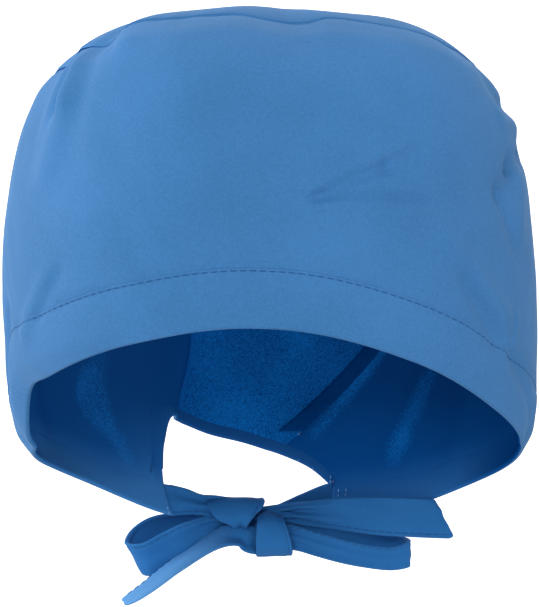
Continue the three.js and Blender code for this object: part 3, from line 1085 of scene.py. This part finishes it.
@dataclass
class Panels:
    """Side band, back panel and crown, which are one layer of cloth joined by seams."""

    shape: CapShape
    thickness: float = 0.9
    step: float = 1.6
    fine_step: float = 1.3
    upright: float = 95.0
    weave_height: float = 110.0
    left_seam: float = 202.0
    right_seam: float = 178.3
    tuck_under: float = 6.0
    tuck_depth: float = 0.25
    tuck_run: float = 2.0
    reach_under: float = 1.8
    leg_reach: float = 4.0
    leg_slack: float = 0.2
    foot_groove: Groove = Groove(0.35, 1.2)
    seam_groove: Groove = Groove(0.5, 0.8)
    overlap: float = 0.002
    rings: int = 46
    ring_power: float = 0.8
    turn_steps: int = 360
    edge_rings: int = 3
    crown_wave: float = 0.4
    crown_calm: float = 20.0
    crown_nap: float = 0.5
    allowance_width: float = 8.0
    allowance_thickness: float = 0.8
    allowance_gap: float = 0.05
    allowance_creep: float = 0.1
    allowance_top: float = 0.995

    def panel(self, name: str, start: float, end: float) -> Cloth:
        """One upright panel between two seams.

        Args:
            name: Name of the piece.
            start: Angle of the foot of its first seam.
            end: Angle of the foot of its last seam.

        Returns:
            The cloth.
        """
        shape = self.shape
        width = (end - start) * shape.mm_per_degree
        step = self.step if start > 0 else self.fine_step
        lows = start + (end - start) * rolled_shares(width, step, self.thickness / 2)
        share = rolled_shares(self.upright, step, self.thickness / 2)[:, None]
        wall = shape.wall_height(lows)
        beside = [shape.panel_floor(lows + off) for off in (-self.reach_under, 0, self.reach_under)]
        foot = shape.rise_of(lows, np.min(beside, axis=0) - self.tuck_under)
        angle = shape.fan_angle(lows[None, :], share)
        rise = foot + (1 + self.overlap - foot) * share
        above_hem = shape.above_floor(angle, rise)
        leg = bell(np.mod(angle, 360) - ARCH[-1].top_angle, self.leg_reach)
        tuck = self.tuck_depth * (1 - self.leg_slack * leg)
        tucked = 1 - smoothstep(above_hem / self.tuck_run + 0.5)
        side_run = np.minimum(lows - start, end - lows) * shape.mm_per_degree
        press = self.foot_groove.press(above_hem) * (1 - leg)
        for distance in ((1 - rise) * wall, side_run[None, :]):
            press = press + self.seam_groove.press(distance)
        nap = np.clip(shape.crease_depth(NAP_BANDS, angle, rise), 0, 1)
        return Cloth(
            name,
            shape.point(angle, rise),
            self.thickness,
            stacked(lows * shape.mm_per_degree, rise * self.weave_height),
            shape.cloth_waves(angle, rise) - tuck * tucked,
            press,
            nap=np.ones_like(nap) if start > 0 else nap,
            # Painted light on the inner face near the rim, the leg of the opening and the left
            # flank.
            painted_light=shape.rim_painted_light(angle, rise * wall),
        )

    def crown(self) -> Cloth:
        """The oval top, whose edge turns down into the seam.

        Returns:
            The cloth, rows from its middle to the seam.
        """
        shape = self.shape
        angle = np.linspace(180, -180, self.turn_steps + 1)[None, :]
        inner = np.linspace(0, 1, self.rings) ** self.ring_power
        edge = rolled_shares(self.step * self.edge_rings, self.step, self.thickness / 2)
        start, edge = inner[-self.edge_rings], edge[len(ROLL_SHARES) :]
        ring = np.concatenate([inner[: -self.edge_rings], start + (1 - start) * edge])[:, None]
        face = shape.crown_point(angle, ring)
        off = np.linalg.norm(face[-1:] - face, axis=-1)
        waves = self.crown_wave * shape.broad(face) * smoothstep(off / self.crown_calm)
        lift = shape.seam_puckers(angle, off) + waves
        press = self.seam_groove.press(off)
        nap = np.full(off.shape, self.crown_nap)
        return Cloth("crown_cloth", face, self.thickness, face[..., :2], lift, press, True, nap)

    def allowance(self, name: str, low: float, lean: float) -> Cloth:
        """Seam allowance pressed to one side on the inner face of an upright seam.

        Args:
            name: Name of the piece.
            low: Angle of the seam's foot.
            lean: 1 if it is pressed towards larger angles, else -1.

        Returns:
            The cloth.
        """
        shape = self.shape
        roll = self.allowance_thickness / 2
        width = self.allowance_width
        across = np.sort(rolled_shares(width, 1.0, roll) * width * lean)
        share = rolled_shares(self.upright, self.step, roll)[:, None]
        foot = shape.rise_of(low, shape.panel_floor(low))
        line = shape.fan_angle(np.full((1, 1), low), share)
        angle = line + (across - roll * lean)[None, :] / shape.mm_per_degree
        rise = foot + (self.allowance_top - foot) * share
        face = shape.point(angle, rise)
        lift = shape.cloth_waves(angle, rise) - self.thickness - self.allowance_gap
        lift = lift - self.allowance_creep * shape.gathers(face)
        weave = stacked(across[None, :], share * self.upright)
        return Cloth(name, face, self.allowance_thickness, weave, lift)


class Tack(NamedTuple):
    """A row of tack stitches: its share of the way along a hem, and where on its height it runs."""

    across: float
    low: float
    high: float


@dataclass
class Hems:
    """The deep turned hem round the brow and the narrow one along the back opening."""

    shape: CapShape
    thickness: float = 1.9
    top_thickness: float = 0.6
    thin_from: float = 0.2
    step: float = 1.5
    brow_step: float = 1.1
    brow_calm: float = 8.0
    brow_stitch: float = 18.6
    brow_groove: Groove = Groove(0.35, 1.0)
    drag: float = 0.22
    drag_slant: tuple[float, float, float] = (1.0, 1.0, 0.4)
    drag_fade: float = 0.4
    arch_length: float = 88.0
    arch_width: float = 9.5
    arch_step: float = 0.9
    arch_stitch: float = 0.82
    arch_groove: Groove = Groove(0.4, 1.0)
    arch_drag: float = 0.3
    # Painted light on the inner face of the narrow hem, and the share of it that fades towards its
    # top line.
    arch_painted_light: float = 0.3
    arch_painted_light_fade: float = 0.6
    tuck_in: float = 3.2
    tuck_in_from: float = 0.82
    end_gap: int = 6

    def thick(self, thinned: Array) -> Array:
        """Thickness of a hem, from its rim at 0 to its thinner top line at 1."""
        return self.thickness + (self.top_thickness - self.thickness) * thinned

    def brow(self) -> Cloth:
        """The hem from the opening's left corner round the front to its right corner.

        Returns:
            The cloth, rows up the hem and columns along it.
        """
        shape = self.shape
        start, end = ARCH[-1].edge_angle - 360, ARCH[0].edge_angle
        roll = self.thickness / 2
        width = (end - start) * shape.mm_per_degree
        angle = (start + (end - start) * rolled_shares(width, self.step, roll))[None, :]
        share = rolled_shares(shape.hem_height, self.brow_step, roll)[:, None]
        up = shape.hem_height * share + 0 * angle
        rise = shape.rise_of(angle, shape.edge_height(angle, RIM) + up)
        face = shape.point(angle, rise)
        lift = shape.cloth_waves(angle, rise) * smoothstep(up / self.brow_calm)
        across = np.clip(up / self.brow_stitch, 0, 1)
        drag = self.drag * shape.gathers(face * self.drag_slant) * across
        press = drag * (1 - self.drag_fade * across) + self.brow_groove.press(up - self.brow_stitch)
        weave = stacked(angle * shape.mm_per_degree, up)
        thick = self.thick(ramp(up / shape.hem_height, self.thin_from, 1))
        # Painted light on the inner face of the hem near the rim.
        painted_light = shape.rim_painted_light(angle, up)
        return Cloth("brow_hem_cloth", face, thick, weave, lift, press, painted_light=painted_light)

    def arch_places(self, across: Array, up: Array) -> tuple[Array, Array]:
        """Angle and rise of places on the opening's narrow hem.

        Args:
            across: Share of the way from its right end to its left end.
            up: Share of the way from the open edge to its top line.

        Returns:
            Angles in degrees, and rises.
        """
        read = self.shape.arch_line
        low, high = read("edge_angle", across), read("top_angle", across)
        angle = low + (high - low) * up
        low, high = read("edge", across), read("top", across)
        under = self.tuck_in * ramp(across, self.tuck_in_from, 1)
        return angle, self.shape.rise_of(angle, low + (high - low) * up - under)

    def arch(self) -> Cloth:
        """The narrow hem along the arch.

        Returns:
            The cloth, rows up the hem and columns along it.
        """
        roll = self.thickness / 2
        across = rolled_shares(self.arch_length, self.step, roll)[None, :]
        up = rolled_shares(self.arch_width, self.arch_step, roll)[:, None]
        angle, rise = self.arch_places(across, up)
        face = self.shape.point(angle, rise)
        lift = self.shape.cloth_waves(angle, rise)
        press = self.arch_drag * self.shape.gathers(face) * up * (1 - up / 2)
        press = press + self.arch_groove.press((up - self.arch_stitch) * self.arch_width)
        weave = stacked(across * self.arch_length, up * self.arch_width)
        inwards = smoothstep(up) + 0 * across
        thick = self.thick(inwards)
        # Painted light on the inner face of the narrow hem, palest at its open edge.
        painted_light = self.arch_painted_light * (1 - self.arch_painted_light_fade * inwards)
        return Cloth("back_hem_cloth", face, thick, weave, lift, press, painted_light=painted_light)

    def line_of(self, cloth: Cloth, thread: Thread, share: float) -> list[Array]:
        """Stitches along a hem, at a share of its height.

        Args:
            cloth: The hem.
            thread: The thread.
            share: Share of the way up the hem.

        Returns:
            The stitches' frames.
        """
        outer, _ = cloth.layers()
        row = self.nearest(outer[:, outer.shape[1] // 2], share)
        along_hem = slice(self.end_gap, -self.end_gap)
        return thread.places(outer[row, along_hem], cloth.normals()[row, along_hem])

    def tacked(self, cloth: Cloth, thread: Thread, tacks: Sequence[Tack]) -> list[Array]:
        """Stitches up the inner face of a hem, where a strap is sewn on.

        Args:
            cloth: The hem.
            thread: The thread.
            tacks: Where they run.

        Returns:
            The stitches' frames.
        """
        _, inner = cloth.layers()
        frames = []
        for tack in tacks:
            at = self.nearest(inner[inner.shape[0] // 2], tack.across)
            first, last = (self.nearest(inner[:, at], end) for end in (tack.low, tack.high))
            rows = slice(first, last + 1)
            frames += thread.places(inner[rows, at], -cloth.normals()[rows, at])
        return frames

    @staticmethod
    def nearest(line: Array, share: float) -> int:
        """Index of the point at a share of a line's length."""
        run = run_along(line)
        return int(np.argmin(np.abs(run / run[-1] - share)))


# ---- straps and their bow


class InKnot(Enum):
    """Which ends of a strap the knot grips: whether its start does, and whether its end does."""

    START = (True, False)
    END = (False, True)
    BOTH = (True, True)


@dataclass
class Strap:
    """A flat strap of folded and topstitched cloth along stations."""

    stations: Sequence[Station]
    phase: float = 0.0
    reference: tuple[float, float, float] = (0.0, 0.0, 1.0)
    by_face: bool = False
    full_width: float = STRAP_WIDTH
    thickness: float = 1.5
    pleats: float = 1.4
    pleat_depth: float = 3.2
    pleat_reach: float = 24.0
    most_squeeze: float = 0.6
    in_knot: InKnot = InKnot.START
    slant: float = 0.0
    slant_reach: float = 14.0
    corner: float = 0.0
    roundness: float = 0.96
    tip: float = 0.22
    # Painted highlight: how far a strap is painted paler towards its end, and from where.
    end_highlight: float = 0.0
    end_highlight_from: float = 3 / 13
    step: float = 1.1
    side_step: float = 0.7
    stitched: tuple[float, ...] = (0.8,)
    end_gap: int = 4
    groove: Groove = Groove(0.28, 0.7)
    wrinkle: float = 0.22
    wrinkle_squeeze: float = 1.6
    phase_run: float = 9.0
    samples: int = 400
    probe: float = 0.01
    wrinkles: Ripple = field(default_factory=lambda: Ripple(23, 6, 30))

    def read(self, name: str, share: Array) -> Array:
        """A column of the stations, at shares of the way through them."""
        return curve(np.linspace(0, 1, len(self.stations)), column(self.stations, name), share)

    def path(self, share: Array) -> Array:
        """Points along the middle, at shares of the way through the stations."""
        return stacked(*(self.read(axis, share) for axis in "xyz"))

    def across(self) -> Array:
        """Places across the strap, from -1 at one edge to 1 at the other."""
        return 2 * rolled_shares(self.full_width, self.side_step, self.thickness / 2) - 1

    def even_shares(self) -> tuple[Array, float]:
        """Shares of the way through the stations that lie at even distances.

        Returns:
            The shares, and the length of the path in mm.
        """
        dense = np.linspace(0, 1, self.samples)
        run = run_along(self.path(dense))
        wanted = rolled_shares(run[-1], self.step, self.thickness / 2) * run[-1]
        return np.interp(wanted, run, dense), run[-1]

    def axes(self, share: Array) -> tuple[Array, Array]:
        """Directions of the strap at places along it.

        Args:
            share: Shares of the way through the stations.

        Returns:
            Unit vectors across its width, and square to its face.
        """
        after, before = np.minimum(share + self.probe, 1), np.maximum(share - self.probe, 0)
        ahead = self.path(after) - self.path(before)
        ahead /= np.linalg.norm(ahead, axis=-1, keepdims=True)
        flat = np.cross(ahead, np.array(self.reference))
        if self.by_face:
            flat = np.cross(flat, ahead)
        flat /= np.linalg.norm(flat, axis=-1, keepdims=True)
        lean = np.radians(self.read("lean", share))[:, None]
        wide, flat = (
            axis * np.cos(lean) + np.cross(ahead, axis) * np.sin(lean)
            for axis in (np.cross(flat, ahead), flat)
        )
        return wide, flat

    def cloth(self, name: str) -> Cloth:
        """The strap as a layer of cloth.

        Args:
            name: Name of the piece.

        Returns:
            The cloth, rows along the strap and columns across it.
        """
        share, length = self.even_shares()
        width = self.read("width", share)[:, None]
        wide, flat = (vector[:, None, :] for vector in self.axes(share))
        share, across = share[:, None], self.across()[None, :]
        from_start, to_end = share * length, (1 - share) * length
        if self.corner:
            cut = 1 - np.clip(to_end / self.corner, 0, 1)
            width = width * (1 - self.tip * (1 - np.sqrt(1 - self.roundness * cut**2)))
        shift = self.slant * across * smoothstep(1 - to_end / self.slant_reach) / length
        middle = self.path(share * (1 - abs(self.slant) / length) + shift)
        grips = zip(self.in_knot.value, (from_start, to_end))
        grip = np.max([held * np.exp(-run / self.pleat_reach) for held, run in grips], axis=0)
        squeeze = np.clip(1 - width / self.full_width, 0, self.most_squeeze) * grip
        folds = self.pleat_depth * squeeze * np.cos(math.pi * self.pleats * across + self.phase)
        x, half = across * width / 2, STRAP_WIDTH / 2
        places = stacked(from_start, x * self.wrinkle_squeeze, self.phase * self.phase_run)
        folds = folds + self.wrinkle * self.wrinkles(places)
        face = middle + wide * x[..., None] + flat * (folds + self.thickness / 2)[..., None]
        lift = sum(self.groove.press((across - line) * half) for line in self.stitched)
        weave = stacked(across * half, from_start)
        face, weave, lift = (np.flip(part, axis=1) for part in (face, weave, lift + 0 * share))
        # Painted highlight towards the strap's end.
        painted_light = self.end_highlight * ramp(share, self.end_highlight_from, 1) + 0 * across
        return Cloth(name, face, self.thickness, weave, lift, painted_light=painted_light)

    def stitching(self, thread: Thread) -> list[Array]:
        """Topstitches along the strap, on both of its faces.

        Args:
            thread: The thread.

        Returns:
            The stitches' frames.
        """
        cloth = self.cloth("line")
        outer, inner = cloth.layers()
        normal = cloth.normals()
        rows = slice(self.end_gap, -self.end_gap)
        frames = []
        for line in self.stitched:
            at = int(np.argmin(np.abs(np.flip(self.across()) - line)))
            for face, side in ((outer, 1), (inner, -1)):
                frames += thread.places(face[rows, at], side * normal[rows, at])
        return frames


LEFT_LEAD = (
    Station(-42, 70, -64.2, 9, -10), Station(-38.3, 71, -65.9, 11.2, -10),
    Station(-33, 73.5, -66.8, 9.6, -6), Station(-26.9, 76.5, -68.2, 6.4, 0),
    Station(-21, 77.5, -69, 6.8, 0), Station(-13, 79.5, -71, 8, 0),
)
KNOT_WRAP = (
    Station(-13, 87, -69, 17, 0), Station(-13, 81.5, -66.5, 20.5, 0),
    Station(-12.9, 76.4, -67.4, 22.3, 0), Station(-12.7, 73.8, -71, 18.4, 0),
    Station(-12.3, 73.4, -73.8, 12.5, 0), Station(-11.9, 75, -75.8, 7.5, 0),
    Station(-11.5, 79, -76.8, 5.5, 0),
)
RIGHT_LEAD = (
    Station(34.1, 88.6, -66.3, 12, 13), Station(25, 91.5, -66.6, 12, 10),
    Station(14, 90.5, -70, 10.5, 0), Station(1, 87.5, -75, 9, 0), Station(-9, 85, -77, 8, 0),
)
LEFT_LOOP = (
    Station(-4, 84, -77, 8, 0), Station(-14, 87, -76, 9, 0), Station(-26, 92, -77, 10.5, 0),
    Station(-42, 93.5, -80, 14, 4), Station(-50, 91, -84.7, 14, 16),
    Station(-51.8, 84.5, -88.8, 14.3, 34), Station(-46.5, 79, -89.2, 13.8, 18),
    Station(-37.5, 77.5, -84.8, 14, 10), Station(-30, 77.5, -80.2, 12.5, 10),
    Station(-22, 79.5, -76.8, 9.5, 10), Station(-9, 82.5, -77, 8, 10),
)
RIGHT_LOOP = (
    Station(-6, 82, -79, 8, 0), Station(7.8, 77.5, -80.4, 9.2, 0),
    Station(18.6, 75.5, -83.2, 9.6, 10), Station(34.3, 74.2, -87.1, 9.4, 10),
    Station(46.1, 75.2, -88.8, 9, 5), Station(53.5, 80.5, -87.3, 10.5, 0),
    Station(49, 89, -86.5, 12, 0), Station(32, 92.5, -82.5, 12, 0), Station(6, 88, -79, 9, 0),
    Station(-6, 85, -78, 8, 0),
)
LEFT_TAIL = (
    Station(-2.5, 78.5, -82.2, 11, 0), Station(-7.5, 77, -81.7, 10.4, 10),
    Station(-12, 75.8, -80, 10, 36), Station(-18, 74.5, -80.6, 12, 58),
    Station(-26, 73.5, -84.4, 13.5, 71), Station(-36, 72, -91.4, 14.5, 77),
    Station(-45.5, 71, -98.6, 15, 78), Station(-55.5, 71, -105.3, 15, 78),
)
RIGHT_TAIL = (
    Station(-6, 83, -72.5, 4.5, 0), Station(5, 82, -71.2, 5.4, 0),
    Station(15.5, 80.5, -71.4, 8.6, 0), Station(26, 78, -71.6, 11.3, 0),
    Station(42, 73.5, -72.3, 14.3, 0), Station(55, 68, -72.5, 15, 0),
    Station(69.5, 61, -72.5, 15, 0),
)
FRONT_WRAP = (
    Station(-1, 89, -78, 10, 0), Station(-0.5, 85.5, -73.8, 10, 0), Station(0, 79.5, -72.2, 9.5, 0),
    Station(0.3, 74, -74.2, 10.5, 0), Station(1, 72, -79, 12.5, 0), Station(1.7, 73, -84.5, 14, 0),
    Station(1.8, 78, -87.3, 14, 0), Station(1, 84.5, -86.5, 13, 0), Station(0, 89.3, -82, 12, 0),
    Station(-1, 90.4, -77, 11, 0),
)


@dataclass
class Bow:
    """The two straps, each sewn to a corner of the opening, and the bow that they make."""

    slant: float = -2.85
    corner: float = 3.5

    def straps(self) -> dict[str, list[Strap]]:
        """The straps of each tie: its sewn lead with its wrap, its loop and its tail.

        Returns:
            For the name of each tie, its straps.
        """
        front, side = (0.0, -1.0, 0.0), (1.0, 0.0, 0.0)
        return {
            "left_tie_cloth": [
                Strap(LEFT_LEAD, 0.4, front, by_face=True, stitched=(-0.8,), in_knot=InKnot.END),
                Strap(
                    KNOT_WRAP, 2.2, side, full_width=24.0, pleats=1.6, pleat_depth=1.2,
                    in_knot=InKnot.END,
                ),
                Strap(LEFT_LOOP, 2.0, pleats=1.9, pleat_depth=4.5, in_knot=InKnot.BOTH),
                # The left tail is painted paler towards its tip, a painted highlight where it faces
                # the lamps.
                Strap(LEFT_TAIL, 1.2, corner=self.corner * 2, tip=0.8, end_highlight=0.5),
            ],
            "right_tie_cloth": [
                Strap(RIGHT_LEAD, 0.9, in_knot=InKnot.END),
                Strap(RIGHT_LOOP, 0.2, pleats=2.2, pleat_depth=4.5, in_knot=InKnot.BOTH),
                Strap(
                    RIGHT_TAIL, 2.6, slant=self.slant, corner=self.corner / 2, stitched=(-0.8,),
                    pleats=2.2, pleat_depth=5.5, pleat_reach=30.0,
                ),
                Strap(FRONT_WRAP, 0.5, side, pleats=1.0),
            ],
        }


# ---- the whole cap


LEFT_TACKS = (Tack(0.004, 0, 0.2),)
RIGHT_TACKS = (Tack(0.99, 0.3, 0.55), Tack(0.994, 0.3, 0.55))
ARCH_TACKS = (Tack(0.02, 0.1, 0.5), Tack(0.1, 0, 0.25), Tack(0.16, 0, 0.2))


@dataclass
class ScrubCap:
    """Builds the pieces of the cap, dresses them and puts them on the frame."""

    shape: CapShape = field(default_factory=CapShape)
    thread: Thread = field(default_factory=Thread)
    tack_thread: Thread = field(default_factory=lambda: Thread(pitch=1.9, length=1.2, radius=0.22))

    def place(self, piece: Piece, slot: str, nodes: Sequence[str] = ()) -> Piece:
        """Puts a piece on the cap's body.

        Args:
            piece: The piece.
            slot: The record's material slot; not used.
            nodes: CAD nodes that it stands for.

        Returns:
            The piece.
        """
        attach(piece, BODY)
        if nodes:
            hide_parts(*nodes)
        LOG.info("%s: %d faces", piece.name, len(piece.data.polygons))
        return piece

    def build_panels(self) -> tuple[Piece, Piece, Piece]:
        """Makes the panels, and the seam allowance that shows inside them.

        Returns:
            The side band, the back panel and the allowance.
        """
        panels = Panels(self.shape)
        left, right = panels.left_seam, panels.right_seam
        side = panels.panel("side_cloth", left - 360, right).build()
        back = panels.panel("back_cloth", right, left).build()
        crown = panels.crown().build()
        for piece, node in ((side, "side_band"), (back, "back_panel"), (crown, "crown_panel")):
            Finish.CLOTH_FACE.dress(piece, Finish.CLOTH_REVERSE_PAINTED_SHADE)
            self.place(piece, "cloth", [node])
        allowance = panels.allowance("right_seam_allowance", right, -1).build()
        Finish.ALLOWANCE_PAINTED_SHADE.dress(allowance)
        self.place(allowance, "cloth")
        return side, back, allowance

    def build_hems(self, side: Piece, back: Piece, allowance: Piece) -> None:
        """Makes both hems and their stitching.

        Args:
            side: The side band, which the brow hem finishes; not used.
            back: The back panel, which the arch's hem finishes; not used.
            allowance: The seam allowance inside the side band; not used.
        """
        hems = Hems(self.shape)
        brow, arch = hems.brow(), hems.arch()
        line, ends = self.thread, self.tack_thread
        brow_share = hems.brow_stitch / self.shape.hem_height
        sewn = (
            ("brow_topstitching", line, hems.line_of(brow, line, brow_share)),
            ("arch_topstitching", line, hems.line_of(arch, line, hems.arch_stitch)),
            ("left_tack_stitches", ends, hems.tacked(brow, ends, LEFT_TACKS)),
            ("right_tack_stitches", ends, hems.tacked(brow, ends, RIGHT_TACKS)),
            ("arch_tack_stitches", ends, hems.tacked(arch, ends, ARCH_TACKS)),
        )
        for cloth, node in ((brow, "brow_hem"), (arch, "back_hem")):
            piece = cloth.build()
            Finish.HEM.dress(piece, Finish.CLOTH_REVERSE_PAINTED_SHADE)
            self.place(piece, "hem_cloth", [node])
        for name, thread, frames in sewn:
            stitches = thread.build(name, frames)
            (Finish.THREAD if thread is line else Finish.THREAD_LIGHT).dress(stitches)
            self.place(stitches, "hem_cloth")

    def build_bow(self) -> None:
        """Makes both ties and their stitching."""
        for name, straps in Bow().straps().items():
            parts = [strap.cloth(f"{name}_{i}").build() for i, strap in enumerate(straps)]
            piece = joined(parts, name)
            Finish.TIE_PAINTED_SHADE.dress(piece)
            self.place(piece, "tie_cloth", [name.removesuffix("_cloth")])
            frames = [frame for strap in straps for frame in strap.stitching(self.thread)]
            stitches = self.thread.build(name.replace("_cloth", "_topstitching"), frames)
            Finish.THREAD.dress(stitches)
            self.place(stitches, "tie_cloth")
            length = sum(strap.even_shares()[1] for strap in straps) * MM
            LOG.info("%s: %.0f mm of strap", name, length / MM)


# ---- studio


# Matt wall paint gives an even pale ground, and acrylic lit from behind a ground without shade.
STAGE_FINISHES = {"studio_floor": "matt_white_paint", "studio_backdrop": "backlit_white_acrylic"}


class Lamp(NamedTuple):
    """A square soft light aimed at the cap: its place and side in metres, its power in watts."""

    name: str
    place: tuple[float, float, float]
    size: float
    power: float


LAMPS = (
    Lamp("key_light", (-0.42, -1.5, 0.6), 0.8, 17.0),
    Lamp("fill_light", (0.85, -1.5, 0.5), 0.8, 3.5),
    Lamp("low_light", (0.6, -1.1, -0.37), 0.5, 5.5),
    Lamp("left_light", (-1.3, 0.15, 0.2), 0.8, 17.0),
    Lamp("right_light", (1.3, 0.1, 0.2), 0.8, 6.0),
    Lamp("top_light", (0.0, 0.1, 1.5), 1.0, 13.0),
)


@dataclass
class Studio:
    """Camera, soft light, and a pale floor with a bright backdrop; in metres, the lens in mm."""

    camera_distance: float = 1.1
    camera_height: float = 0.009
    lens: float = 182.0165
    sensor_width: float = 36.0
    floor_drop: float = 0.42
    floor_size: float = 60.0
    backdrop_distance: float = 3.0
    backdrop_size: float = 4.0
    surroundings: float = 0.13

    def add_camera(self) -> None:
        """Level camera in front of the cap."""
        data = bpy.data.cameras.new("camera")
        data.sensor_width = self.sensor_width
        data.lens = self.lens
        camera = bpy.data.objects.new("camera", data)
        camera.location = (0, -self.camera_distance, self.camera_height)
        camera.rotation_euler = (math.pi / 2, 0, 0)
        bpy.context.scene.collection.objects.link(camera)
        bpy.context.scene.camera = camera

    def add_lights(self) -> None:
        """Soft lights, each turned towards the cap."""
        for lamp in LAMPS:
            data = bpy.data.lights.new(lamp.name, "AREA")
            data.size = lamp.size
            data.energy = lamp.power
            light = bpy.data.objects.new(lamp.name, data)
            light.location = lamp.place
            light.rotation_euler = (-Vector(lamp.place)).to_track_quat("-Z", "Y").to_euler()
            bpy.context.scene.collection.objects.link(light)

    def add_world(self) -> None:
        """Even white surroundings, and plain display of colours."""
        world = bpy.data.worlds.new("studio")
        world.use_nodes = True
        background = world.node_tree.nodes["Background"]
        background.inputs["Color"].default_value = (1, 1, 1, 1)
        background.inputs["Strength"].default_value = self.surroundings
        bpy.context.scene.world = world
        bpy.context.scene.view_settings.view_transform = "Standard"

    def add_square(
        self, name: str, size: float, place: tuple[float, float, float], tilt: float
    ) -> tuple[Piece, bpy.types.NodeInputs]:
        """A flat square of the studio.

        Args:
            name: Its name; its material gets the name of its finish.
            size: Its side.
            place: Its middle.
            tilt: Its turn about the line across the view, in radians.

        Returns:
            The square, and the settings of its material.
        """
        select_only()
        bpy.ops.mesh.primitive_plane_add(size=size, location=place, rotation=(tilt, 0, 0))
        piece = bpy.context.object
        piece.name = name
        material = bpy.data.materials.new(STAGE_FINISHES[name])
        material.use_nodes = True
        piece.data.materials.append(material)
        return piece, material.node_tree.nodes["Principled BSDF"].inputs

    def add_stage(self) -> None:
        """Pale floor, well below the cap, and a bright backdrop far behind it."""
        low = -self.floor_drop
        floor, paint = self.add_square("studio_floor", self.floor_size, (0, 0, low), 0.0)
        paint["Base Color"].default_value = linear("#c9c9c9")
        paint["Roughness"].default_value = 0.9
        place = (0, self.backdrop_distance, self.backdrop_size / 2 + low)
        backdrop, glow = self.add_square("studio_backdrop", self.backdrop_size, place, math.pi / 2)
        glow["Emission Color"].default_value = (1, 1, 1, 1)
        glow["Emission Strength"].default_value = 1.0

    def build(self) -> None:
        """Sets up the studio."""
        self.add_world()
        self.add_camera()
        self.add_stage()
        self.add_lights()


def main() -> None:
    """Builds the cap and its studio on the frame."""
    logging.basicConfig(level=logging.INFO, format="%(name)s %(message)s")
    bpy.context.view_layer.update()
    cap = ScrubCap()
    cap.build_hems(*cap.build_panels())
    cap.build_bow()
    Studio().build()


if __name__ == "__main__":
    main()
